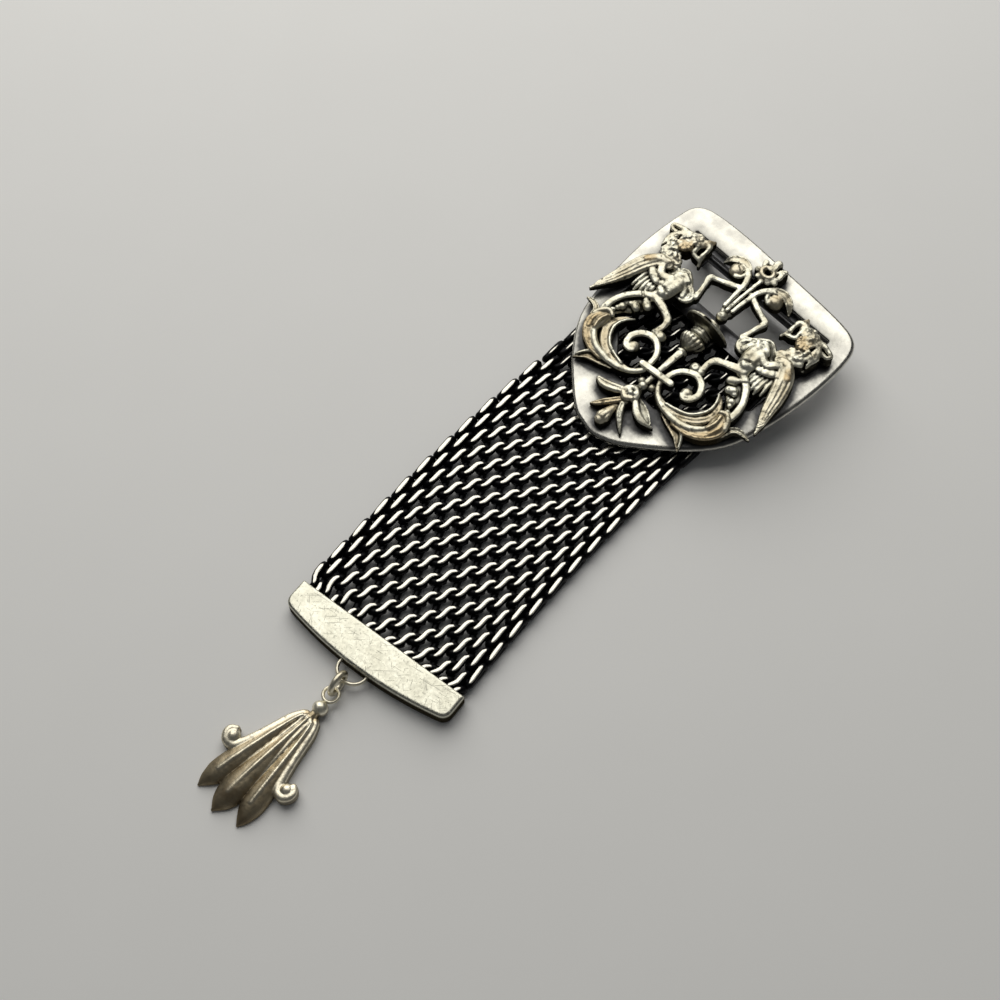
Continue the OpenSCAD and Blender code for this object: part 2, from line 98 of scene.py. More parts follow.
@dataclass
class Skin:
    """Surface of a piece: points, groups of faces, and a mark for each point by name."""

    points: Array
    faces: list[Array]
    marks: dict[str, Array] = field(default_factory=dict)

    def join(self, other: "Skin") -> "Skin":
        """Adds another surface to this one.

        Args:
            other: the surface to add.

        Returns:
            One surface that holds both.
        """
        names = set(self.marks) | set(other.marks)
        marks = {k: np.concatenate([s.marks.get(k, np.zeros(len(s.points))) for s in (self, other)])
                 for k in names}
        faces = self.faces + [f + len(self.points) for f in other.faces]
        return Skin(np.vstack([self.points, other.points]), faces, marks)

    def piece(self, name: str, place: Place, crease: float | None = None) -> bpy.types.Object:
        """Makes the surface into an object of the scene.

        Args:
            name: the object's name.
            place: the frame that the points are in.
            crease: edges sharper than this angle in degrees stay crisp.

        Returns:
            The new object.
        """
        mesh = bpy.data.meshes.new(name)
        points = place.put(self.points) * MM
        mesh.vertices.add(len(points))
        mesh.vertices.foreach_set("co", points.astype(np.float32).ravel())
        sizes = np.concatenate([np.full(len(f), f.shape[1]) for f in self.faces])
        corners = np.concatenate([f.ravel() for f in self.faces])
        mesh.loops.add(len(corners))
        mesh.loops.foreach_set("vertex_index", corners.astype(np.int32))
        mesh.polygons.add(len(sizes))
        starts = np.concatenate(([0], np.cumsum(sizes)[:-1]))
        mesh.polygons.foreach_set("loop_start", starts.astype(np.int32))
        mesh.update(calc_edges=True)
        mesh.validate()
        mesh.shade_smooth()
        normals = np.empty(3 * len(points), np.float32)
        mesh.vertices.foreach_get("normal", normals)
        for mark, values in (*self.marks.items(), ("facing", normals[2::3].copy())):
            layer = mesh.attributes.new(mark, "FLOAT", "POINT")
            layer.data.foreach_set("value", np.asarray(values, np.float32))
        if crease is not None:
            mesh.set_sharp_from_angle(angle=math.radians(crease))
        thing = bpy.data.objects.new(name, mesh)
        bpy.context.scene.collection.objects.link(thing)
        return thing


def fit(piece: bpy.types.Object, finish: bpy.types.Material, node: str) -> bpy.types.Object:
    """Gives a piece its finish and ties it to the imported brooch.

    Args:
        piece: the piece.
        finish: its material.
        node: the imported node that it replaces.

    Returns:
        The piece.
    """
    piece.data.materials.append(finish)
    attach(piece, "root")
    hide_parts(node)
    log.info("%s: %d faces", piece.name, len(piece.data.polygons))
    return piece


def flowing(rows: list[Row], steps: int) -> Array:
    """Draws a smooth curve through table rows, column by column.

    Args:
        rows: table rows of equal length.
        steps: points for each stretch between two rows.

    Returns:
        The curve's rows.
    """
    table = np.array(rows, float)
    p = np.vstack([table[:1], table, table[-1:]])
    t = (np.arange(steps) / steps)[:, None]
    out = []
    for i in range(len(table) - 1):
        a, b, c, d = p[i:i + 4]
        out.append(0.5 * (2 * b + (c - a) * t + (2 * a - 5 * b + 4 * c - d) * t ** 2
                          + (3 * b - a - 3 * c + d) * t ** 3))
    return np.vstack(out + [table[-1:]])


def outline_distance(x: Array, y: Array, outline: Array) -> Array:
    """Measures how far points lie from a closed outline.

    Args:
        x: first coordinates.
        y: second coordinates.
        outline: the outline's corners, in order.

    Returns:
        The distances, negative inside.
    """
    best = np.full(x.shape, FAR)
    inside = np.zeros(x.shape, bool)
    for (ax, ay), (bx, by) in zip(outline, np.roll(outline, -1, axis=0)):
        ex, ey = bx - ax, by - ay
        t = np.clip(((x - ax) * ex + (y - ay) * ey) / max(ex * ex + ey * ey, TINY ** 2), 0, 1)
        best = np.minimum(best, (x - ax - t * ex) ** 2 + (y - ay - t * ey) ** 2)
        if ey != 0:
            inside ^= ((ay > y) != (by > y)) & (x < ex * (y - ay) / ey + ax)
    return np.where(inside, -np.sqrt(best), np.sqrt(best))


def soft_max(a: Array, b: Array, soft: float) -> Array:
    """Takes the larger of two fields, rounded over a width of soft where they meet."""
    share = np.clip(0.5 + 0.5 * (a - b) / soft, 0, 1)
    return b + (a - b) * share + soft * share * (1 - share)


def ease(t: Array) -> Array:
    """Rises smoothly from 0 to 1 as t does, and stays there on both sides."""
    t = np.clip(t, 0, 1)
    return t * t * (3 - 2 * t)


def powered(wave: Array, power: float) -> Array:
    """Raises a wave to a power and keeps its sign, which squares or sharpens it."""
    return np.sign(wave) * np.abs(wave) ** power


@dataclass(frozen=True)
class Crown:
    """Domed top of a raised strand, with the ribs, beads or trough that are worked into it."""

    fullness: float = 2.2
    dome: float = 0.8
    ribs: int = 0
    rib_depth: float = 0.0
    bead_pitch: float = 1.0
    bead_depth: float = 0.0
    trough: float = 0.0

    def lowered(self, q: Array, hand: Array, along: Array) -> Array:
        """Gives how far the ribs, beads and trough lower the top.

        Args:
            q: place across the strand, 0 in its middle and 1 at its sides.
            hand: 1 on its left-hand side, -1 on its right.
            along: distance from its start.

        Returns:
            The lowering, in millimetres.
        """
        drop = np.zeros_like(q)
        if self.ribs:
            wave = 0.5 + 0.5 * np.cos(np.pi * self.ribs * (np.clip(q, 0, 1) * hand + 1))
            drop += self.rib_depth * wave ** 2
        if self.bead_depth:
            drop += self.bead_depth * (0.5 + 0.5 * np.cos(2 * np.pi * along / self.bead_pitch)) ** 2
        if self.trough:
            drop += self.trough * np.clip(1 - q * q, 0, 1)
        return drop


KNOB = Crown(fullness=2.1, dome=0.9)
STRAP = Crown(fullness=2.8, dome=0.55)
BLADE = Crown(fullness=2.6, dome=0.4, ribs=4, rib_depth=0.12)
CUPPED = Crown(fullness=2.6, dome=0.5, trough=0.4)
GROOVED = Crown(fullness=2.6, dome=0.5, ribs=3, rib_depth=0.1)
LEAF = Crown(fullness=2.4, dome=0.5, ribs=2, rib_depth=0.15)
BEADED = Crown(fullness=2.4, dome=0.5, bead_depth=0.07)
DISC = Crown(fullness=3.0, dome=0.28)
CURL = Crown(fullness=3.0, dome=0.5)
TIE = Crown(fullness=3.4, dome=0.6)
KEEL = Crown(fullness=1.75, dome=0.75)
ROUND = Crown()


@dataclass(frozen=True)
class Form:
    """One strand of a relief, raised or cut: rows of x, y, base height, width and height."""

    rows: tuple[Row, ...]
    crown: Crown = STRAP
    gilt: float = 0.0
    soft: float = 0.08
    cut: bool = False


# Half the length of a strand that stands for a round knob
STUB = 0.02
# Height that every cut reaches up to, and the rounding of its edges
ABOVE = 3.0
CUT_SOFT = 0.15


def knob(x: float, y: float, radius: float, height: float, gilt: float = 0.0, base: float = 0.3) -> Form:
    """Gives an upright knob with a domed top."""
    ends = ((x - STUB, y, base, 2 * radius, height), (x + STUB, y, base, 2 * radius, height))
    return Form(ends, KNOB, gilt)


def pit(x: float, y: float, size: Row, height: float, turn: float = 0.0) -> Form:
    """Gives a cut from a height upwards.

    Args:
        x: its middle.
        y: its middle.
        size: its length and width.
        height: where it starts.
        turn: its turn about Z in degrees.

    Returns:
        The form to cut.
    """
    reach, a = 0.5 * (size[0] - size[1]), math.radians(turn)
    dx, dy = reach * math.cos(a) + STUB, reach * math.sin(a)
    ends = ((x - dx, y - dy, height, size[1], ABOVE), (x + dx, y + dy, height, size[1], ABOVE))
    return Form(ends, soft=CUT_SOFT, cut=True)


class Clay:
    """Solid worked up on a fine grid: forms are added and cut with soft joins, then skinned."""

    EMPTY = 9.0
    MARGIN = 0.45
    LEAST_WIDTH = 0.05
    LEAST_SLOPE = 0.2
    LEAST_NORM = 1e-3
    CURVE_STEPS = 5
    CAP_SHARE = 0.92
    HOLLOW_REACH = 0.55
    EDGE_REACH = 0.28

    def __init__(self, low: Row, high: Row, step: float) -> None:
        """Lays out an empty grid.

        Args:
            low: lowest corner.
            high: highest corner.
            step: distance between grid points.
        """
        self.low = np.array(low, float)
        self.step = step
        self.count = np.ceil((np.array(high) - self.low) / step).astype(int) + 1
        self.axes = [self.low[k] + step * np.arange(self.count[k]) for k in range(3)]
        self.depth = np.full(self.count, self.EMPTY, np.float32)
        self.gilt = np.zeros(self.count, np.float32)

    def window(self, low: Array, high: Array) -> Part:
        """Finds the part of the grid between two corners.

        Args:
            low: lowest corner.
            high: highest corner.

        Returns:
            The slices of the grid.
        """
        a = np.clip(np.floor((np.array(low) - self.low) / self.step).astype(int), 0, self.count - 1)
        b = np.clip(np.ceil((np.array(high) - self.low) / self.step).astype(int) + 1, 1, self.count)
        return tuple(slice(int(i), int(max(j, i + 1))) for i, j in zip(a, b))

    def corners(self, part: Part = WHOLE) -> tuple[Array, Array, Array]:
        """Gives the x, y and z of a part of the grid, ready to combine."""
        x, y, z = (self.axes[k][part[k]] for k in range(3))
        return x[:, None, None], y[None, :, None], z[None, None, :]

    def plan(self, part: Part = WHOLE) -> tuple[Array, Array]:
        """Gives the x and y of a part of the grid, as seen from above."""
        x, y = (g[:, :, 0] for g in self.corners(part)[:2])
        return np.broadcast_arrays(x, y)

    def add(self, part: Part, form: Array, soft: float, gilt: float = 0.0, cut: bool = False) -> None:
        """Joins a form to the solid, or cuts it out.

        Args:
            part: the part of the grid that the form was measured on.
            form: signed distance to the form.
            soft: width of the soft join or edge.
            gilt: how yellow the form is.
            cut: whether it is cut out.
        """
        old = self.depth[part]
        if cut:
            self.depth[part] = soft_max(-form, old, soft)
            return
        share = np.clip(0.5 + 0.5 * (old - form) / soft, 0, 1)
        self.depth[part] = old + (form - old) * share - soft * share * (1 - share)
        self.gilt[part] += (gilt - self.gilt[part]) * share

    def traced(self, line: Array, x: Array, y: Array) -> tuple[Array, Array]:
        """Finds the nearest place on a line for each x and y.

        Args:
            line: rows of x, y, base height, width and height.
            x: first coordinates.
            y: second coordinates.

        Returns:
            The squared distances, and base height, width, height, side and distance from the line's start.
        """
        best = np.full(x.shape, FAR)
        here = np.zeros((5, *x.shape))
        run = 0.0
        for a, b in zip(line[:-1], line[1:]):
            e = b - a
            length = math.hypot(e[0], e[1]) + TINY
            t = np.clip(((x - a[0]) * e[0] + (y - a[1]) * e[1]) / length ** 2, 0, 1)
            dx, dy = x - a[0] - t * e[0], y - a[1] - t * e[1]
            far = dx * dx + dy * dy
            near = far < best
            best = np.where(near, far, best)
            hand = np.sign(e[0] * dy - e[1] * dx)
            found = (a[2] + t * e[2], a[3] + t * e[3], a[4] + t * e[4], hand, run + t * length)
            here = np.where(near[None], np.array(found), here)
            run += length
        return best, here

    def strand(self, rows: list[Row], crown: Crown = ROUND, soft: float = 0.12, gilt: float = 0.0,
               cut: bool = False) -> None:
        """Adds or cuts a raised strand.

        Args:
            rows: table with the columns x, y, base height, width, height.
            crown: shape of the strand's top.
            soft: width of the soft join.
            gilt: how yellow the strand is.
            cut: whether the strand is cut out instead of added.
        """
        line = flowing(rows, self.CURVE_STEPS)
        line[:, 3:] = np.maximum(line[:, 3:], self.LEAST_WIDTH)
        pad = self.MARGIN + soft
        side = line[:, 3].max() / 2 + pad
        low = [line[:, 0].min() - side, line[:, 1].min() - side, line[:, 2].min() - pad]
        high = [line[:, 0].max() + side, line[:, 1].max() + side, (line[:, 2] + line[:, 4]).max() + pad]
        part = self.window(low, high)
        best, (base, width, height, hand, along) = self.traced(line, *self.plan(part))
        q = np.sqrt(best) / (width / 2)
        cap = np.minimum(crown.dome * width / 2, self.CAP_SHARE * height)
        drop = crown.lowered(q, hand, along)
        z = self.corners(part)[2]
        rise = (z - (base + height - cap - drop)[..., None]) / cap[..., None]
        up = np.maximum(rise, 0)
        q = q[..., None]
        n = crown.fullness
        f = np.maximum((q ** n + up ** n) ** (1 / n), self.LEAST_NORM)
        slope = np.sqrt(((q / f) ** (n - 1) * 2 / width[..., None]) ** 2
                        + ((up / f) ** (n - 1) / cap[..., None]) ** 2)
        form = (f - 1) / np.maximum(slope, self.LEAST_SLOPE)
        form = np.where(rise < 0, np.maximum((q - 1) * (width / 2)[..., None], base[..., None] - z), form)
        self.add(part, form, soft, gilt, cut)

    def work(self, forms: tuple[Form, ...], s: int = 1) -> None:
        """Works a table of strands into the solid.

        Args:
            forms: the strands.
            s: 1 as they stand, -1 mirrored.
        """
        for form in forms:
            rows = [(s * row[0], *row[1:]) for row in form.rows]
            self.strand(rows, form.crown, form.soft, form.gilt, form.cut)

    def ball(self, at: Row, radii: Row, soft: float = 0.1, gilt: float = 0.0, turn: float = 0.0) -> None:
        """Adds a stretched ball.

        Args:
            at: its middle.
            radii: its three radii.
            soft: width of the soft join.
            gilt: how yellow it is.
            turn: turn about Z in degrees.
        """
        reach = np.array([max(radii[:2])] * 2 + [radii[2]]) + self.MARGIN + soft
        part = self.window(np.array(at) - reach, np.array(at) + reach)
        x, y, z = (g - middle for g, middle in zip(self.corners(part), at))
        c, s = math.cos(math.radians(turn)), math.sin(math.radians(turn))
        u, v = x * c + y * s, y * c - x * s
        f = np.sqrt((u / radii[0]) ** 2 + (v / radii[1]) ** 2 + (z / radii[2]) ** 2)
        f = np.maximum(f, self.LEAST_NORM)
        slope = np.sqrt((u / radii[0] ** 2) ** 2 + (v / radii[1] ** 2) ** 2 + (z / radii[2] ** 2) ** 2) / f
        self.add(part, (f - 1) / np.maximum(slope, self.LEAST_SLOPE), soft, gilt)

    def slab(self, distance: Array, low: float, high: float, soft: float) -> None:
        """Adds a flat plate with softened edges over the whole grid.

        Args:
            distance: signed distance to its outline, for each x and y.
            low: height of its underside.
            high: height of its face.
            soft: rounding of its edges.
        """
        z = self.corners()[2]
        across = np.abs(z - (low + high) / 2) - (high - low) / 2
        form = soft_max(np.broadcast_to(distance[..., None], self.depth.shape), across, soft)
        self.add(WHOLE, form, self.LEAST_NORM)

    def rumple(self, low: Row, high: Row, pitch: float, depth: float, seed: int) -> None:
        """Roughens the solid as a worn casting is.

        Args:
            low: lowest corner of the rough part.
            high: its highest corner.
            pitch: distance between bumps.
            depth: how far the surface moves each way.
            seed: seed of the pattern.
        """
        part = self.window(low, high)
        old = self.depth[part]
        wave = np.random.default_rng(seed).normal(0, 0.5, [int(n * self.step / pitch) + 3 for n in old.shape])
        for axis, size in enumerate(old.shape):
            t = np.arange(size) * self.step / pitch
            first = np.floor(t).astype(int)
            share = t - first
            share = (share * share * (3 - 2 * share)).reshape([-1 if k == axis else 1 for k in range(3)])
            wave = np.take(wave, first, axis) * (1 - share) + np.take(wave, first + 1, axis) * share
        self.depth[part] = old + (depth * wave).astype(np.float32)

    def flat_back(self, height: float) -> None:
        """Cuts everything below a height away."""
        self.depth = np.maximum(self.depth, height - self.corners()[2]).astype(np.float32)

    def skin(self, ground: Array | None = None) -> Skin:
        """Wraps the solid in quads and marks each point.

        Args:
            ground: where something solid lies below the grid, for each x and y.

        Returns:
            The surface with the marks hollow (deep places are high), edge (crests are high), gilt and soot,
            which is zero here and which some pieces set to painted shade or a darker tone.
        """
        inside = self.depth < 0
        cells = sum(inside[i:i - 1 or None, j:j - 1 or None, k:k - 1 or None].astype(np.int8)
                    for i in (0, 1) for j in (0, 1) for k in (0, 1))
        active = (cells > 0) & (cells < 8)
        index = np.full(active.shape, -1, np.int64)
        index[active] = np.arange(active.sum())
        at = self.crossings(np.argwhere(active))
        solid = np.where(inside, 1.0, 0.0).astype(np.float32)
        wide = self.blurred(self.grounded(solid, ground), self.HOLLOW_REACH)
        fine = self.blurred(solid, self.EDGE_REACH)
        marks = {"hollow": self.sampled(wide, at), "edge": 1 - self.sampled(fine, at),
                 "gilt": self.sampled(self.gilt, at), "soot": np.zeros(len(at))}
        return Skin(self.low + self.step * at, [self.quads(inside, index)], marks)

    def crossings(self, cells: Array) -> Array:
        """Places one point in each cell that the surface crosses.

        Args:
            cells: rows of the cells' numbers along each axis.

        Returns:
            The mean of the places where the surface crosses each cell's edges, in grid steps.
        """
        total = np.zeros((len(cells), 3))
        hits = np.zeros(len(cells))
        for axis in range(3):
            others = [k for k in range(3) if k != axis]
            for i, j in ((0, 0), (0, 1), (1, 0), (1, 1)):
                a = cells.copy()
                a[:, others] += (i, j)
                b = a.copy()
                b[:, axis] += 1
                va, vb = self.depth[tuple(a.T)], self.depth[tuple(b.T)]
                cross = (va < 0) != (vb < 0)
                p = a[cross].astype(float)
                p[:, axis] += va[cross] / (va[cross] - vb[cross])
                total[cross] += p
                hits[cross] += 1
        return total / hits[:, None]

    def quads(self, inside: Array, index: Array) -> Array:
        """Joins the points of neighbouring cells into quads.

        Args:
            inside: whether each grid point is inside the solid.
            index: number of each cell's point.

        Returns:
            The quads, facing outwards.
        """
        quads = []
        for axis in range(3):
            others = [k for k in range(3) if k != axis]
            first = np.take(inside, range(self.count[axis] - 1), axis)
            second = np.take(inside, range(1, self.count[axis]), axis)
            for sign, hit in ((1, first & ~second), (-1, second & ~first)):
                e = np.argwhere(hit)
                e = e[(e[:, others] > 0).all(axis=1) & (e[:, others] < self.count[others] - 1).all(axis=1)]
                around = []
                for turn in ((0, 0), (1, 0), (1, 1), (0, 1)):
                    c = e.copy()
                    c[:, others] -= turn
                    around.append(index[tuple(c.T)])
                ring = np.column_stack(around)
                turned = (sign > 0) != (axis == 1)
                quads.append(ring if turned else ring[:, ::-1])
        return np.vstack(quads)

    def grounded(self, solid: Array, ground: Array | None) -> Array:
        """Adds what lies below the grid to its filled cells.

        Args:
            solid: 1 inside the solid and 0 outside.
            ground: where something solid lies below, for each x and y.

        Returns:
            The filled cells of both.
        """
        if ground is None:
            return solid
        filled = solid.copy()
        rows = max(1, int(self.MARGIN / self.step))
        filled[:, :, :rows] = np.maximum(filled[:, :, :rows], ground[..., None])
        return filled

    def blurred(self, volume: Array, radius: float) -> Array:
        """Averages a volume over a small box around each point.

        Args:
            volume: values on the grid.
            radius: half the box's width in millimetres.

        Returns:
            The averages.
        """
        r = max(1, round(radius / self.step))
        for axis in range(3):
            pads = [(0, 0)] * 3
            pads[axis] = (r + 1, r)
            c = np.cumsum(np.pad(volume, pads, mode="edge"), axis=axis, dtype=np.float64)
            top = np.take(c, range(2 * r + 1, c.shape[axis]), axis)
            foot = np.take(c, range(0, c.shape[axis] - 2 * r - 1), axis)
            volume = ((top - foot) / (2 * r + 1)).astype(np.float32)
        return volume

    def sampled(self, volume: Array, at: Array) -> Array:
        """Reads a volume between its grid points.

        Args:
            volume: values on the grid.
            at: places in grid steps.

        Returns:
            A value for each place.
        """
        base = np.clip(np.floor(at).astype(int), 0, np.array(volume.shape) - 2)
        t = at - base
        out = np.zeros(len(at))
        for corner in np.ndindex(2, 2, 2):
            weight = np.where(corner, t, 1 - t).prod(axis=1)
            out += weight * volume[tuple((base + corner).T)]
        return out


def tube(path: Array, outward: Array, profile: Array, closed: bool = False) -> Skin:
    """Sweeps a profile along a path.

    Args:
        path: points of the path.
        outward: for each point, the direction that the profile's second column follows.
        profile: columns across and outward, in order around the wire.
        closed: whether the path closes on itself.

    Returns:
        The swept surface, with capped ends when it is open.
    """
    if closed:
        ahead = np.roll(path, -1, axis=0) - np.roll(path, 1, axis=0)
    else:
        ahead = np.gradient(path, axis=0)
    ahead /= np.linalg.norm(ahead, axis=1, keepdims=True)
    out = outward - ahead * (outward * ahead).sum(axis=1, keepdims=True)
    out /= np.maximum(np.linalg.norm(out, axis=1, keepdims=True), TINY)
    across = np.cross(ahead, out)
    n, m = len(path), len(profile)
    points = path[:, None] + across[:, None] * profile[None, :, :1] + out[:, None] * profile[None, :, 1:2]
    points = points.reshape(-1, 3)
    i = np.arange(n if closed else n - 1)[:, None]
    k = np.arange(m)[None, :]
    j, l = (i + 1) % n, (k + 1) % m
    groups = [np.stack([i * m + k, j * m + k, j * m + l, i * m + l], axis=-1).reshape(-1, 4)]
    if not closed:
        turn, last = np.arange(m), (n - 1) * m
        foot = np.column_stack([np.full(m, n * m), turn, (turn + 1) % m])
        head = np.column_stack([np.full(m, n * m + 1), last + (turn + 1) % m, last + turn])
        points = np.vstack([points, path[0], path[-1]])
        groups += [foot, head]
    return Skin(points, groups)


def round_profile(radius: float, sides: int) -> Array:
    """Gives the profile of a round wire."""
    a = -2 * np.pi * np.arange(sides) / sides
    return np.column_stack((radius * np.cos(a), radius * np.sin(a)))


class Layout:
    """Adds nodes to a material and joins them."""

    # The Mix node's sockets for a share and two colours, whose names it uses more than once
    MIX = (0, 6, 7)

    def __init__(self, name: str) -> None:
        """Starts a material with one metal shader.

        Args:
            name: the material's name.
        """
        self.material = bpy.data.materials.new(name)
        self.material.use_nodes = True
        self.tree = self.material.node_tree
        self.shader = self.tree.nodes["Principled BSDF"]
        self.place = self.tree.nodes.new("ShaderNodeTexCoord").outputs["Object"]

    def plug(self, socket: bpy.types.NodeSocket, value: object) -> None:
        """Links a socket to another one, or sets its value.

        Args:
            socket: the socket to feed.
            value: another socket, or a plain value.
        """
        if isinstance(value, bpy.types.NodeSocket):
            self.tree.links.new(value, socket)
        else:
            socket.default_value = value

    def node(self, kind: str, settings: dict | None = None, **inputs: object) -> bpy.types.Node:
        """Adds a node.

        Args:
            kind: the node's type.
            settings: attributes to set on it.
            inputs: values or sockets for its inputs, by name.

        Returns:
            The new node.
        """
        made = self.tree.nodes.new(kind)
        for key, value in (settings or {}).items():
            setattr(made, key, value)
        for key, value in inputs.items():
            self.plug(made.inputs[key.replace("_", " ")], value)
        return made

    def mark(self, name: str) -> bpy.types.NodeSocket:
        """Reads one of a surface's marks."""
        return self.node("ShaderNodeAttribute", {"attribute_name": name}).outputs["Fac"]

    def ramp(self, value: bpy.types.NodeSocket, low: float, high: float, first: float = 0.0,
             last: float = 1.0) -> bpy.types.NodeSocket:
        """Maps a value from one range to another, smoothly and clamped."""
        made = self.node("ShaderNodeMapRange", {"interpolation_type": "SMOOTHSTEP"}, Value=value,
                         From_Min=low, From_Max=high, To_Min=first, To_Max=last)
        return made.outputs["Result"]

    def sum(self, first: object, second: object, how: str = "ADD") -> bpy.types.NodeSocket:
        """Combines two values.

        Args:
            first: a value or socket.
            second: a value or socket.
            how: the operation.

        Returns:
            The result.
        """
        made = self.node("ShaderNodeMath", {"operation": how})
        self.plug(made.inputs[0], first)
        self.plug(made.inputs[1], second)
        return made.outputs[0]

    def blend(self, share: object, first: object, second: object) -> bpy.types.NodeSocket:
        """Mixes two colours.

        Args:
            share: how much of the second one.
            first: a colour or socket.
            second: a colour or socket.

        Returns:
            The mixed colour.
        """
        made = self.node("ShaderNodeMix", {"data_type": "RGBA"})
        for number, value in zip(self.MIX, (share, first, second)):
            self.plug(made.inputs[number], (*value, 1.0) if isinstance(value, tuple) else value)
        return made.outputs[2]

    def noise(self, per_mm: float, detail: float = 3.0, stretch: Row = (1.0, 1.0, 1.0),
              turn: float = 0.0) -> bpy.types.NodeSocket:
        """Makes a noise pattern.

        Args:
            per_mm: how many features lie on a millimetre.
            detail: how many finer layers it has.
            stretch: how much denser it is along each axis.
            turn: turn about Z in degrees.

        Returns:
            The pattern's value.
        """
        size = tuple(s * per_mm / MM for s in stretch)
        spot = self.node("ShaderNodeMapping", {"vector_type": "TEXTURE"}, Vector=self.place,
                         Rotation=(0.0, 0.0, math.radians(turn)), Scale=tuple(1 / s for s in size))
        made = self.node("ShaderNodeTexNoise", Vector=spot.outputs[0], Scale=1.0, Detail=detail)
        return made.outputs["Fac"]

    def bump(self, height: bpy.types.NodeSocket, depth: float, below: object = None) -> bpy.types.NodeSocket:
        """Turns a height pattern into fine relief.

        Args:
            height: the pattern.
            depth: its depth in millimetres.
            below: relief that this one lies on.

        Returns:
            The relief's normal.
        """
        made = self.node("ShaderNodeBump", Height=height, Strength=1.0, Distance=depth * MM)
        if below is not None:
            self.plug(made.inputs["Normal"], below)
        return made.outputs["Normal"]

    def drift(self, pattern: bpy.types.NodeSocket, share: float) -> bpy.types.NodeSocket:
        """Moves a pattern's middle from a half to zero and scales it."""
        return self.sum(self.sum(pattern, 0.5, "SUBTRACT"), share, "MULTIPLY")

    def feed(self, **inputs: object) -> None:
        """Sets the shader's own sockets, by name."""
        for key, value in inputs.items():
            self.plug(self.shader.inputs[key.replace("_", " ")], value)


class Grain(Enum):
    """How a metal face was worked or worn, with its scratches' strength and depth, and its bumps' depth."""

    SATIN = (0.12, 0.002, 0.006)
    SCRATCHED = (0.75, 0.008, 0.006)
    CAST = (0.0, 0.0, 0.035)


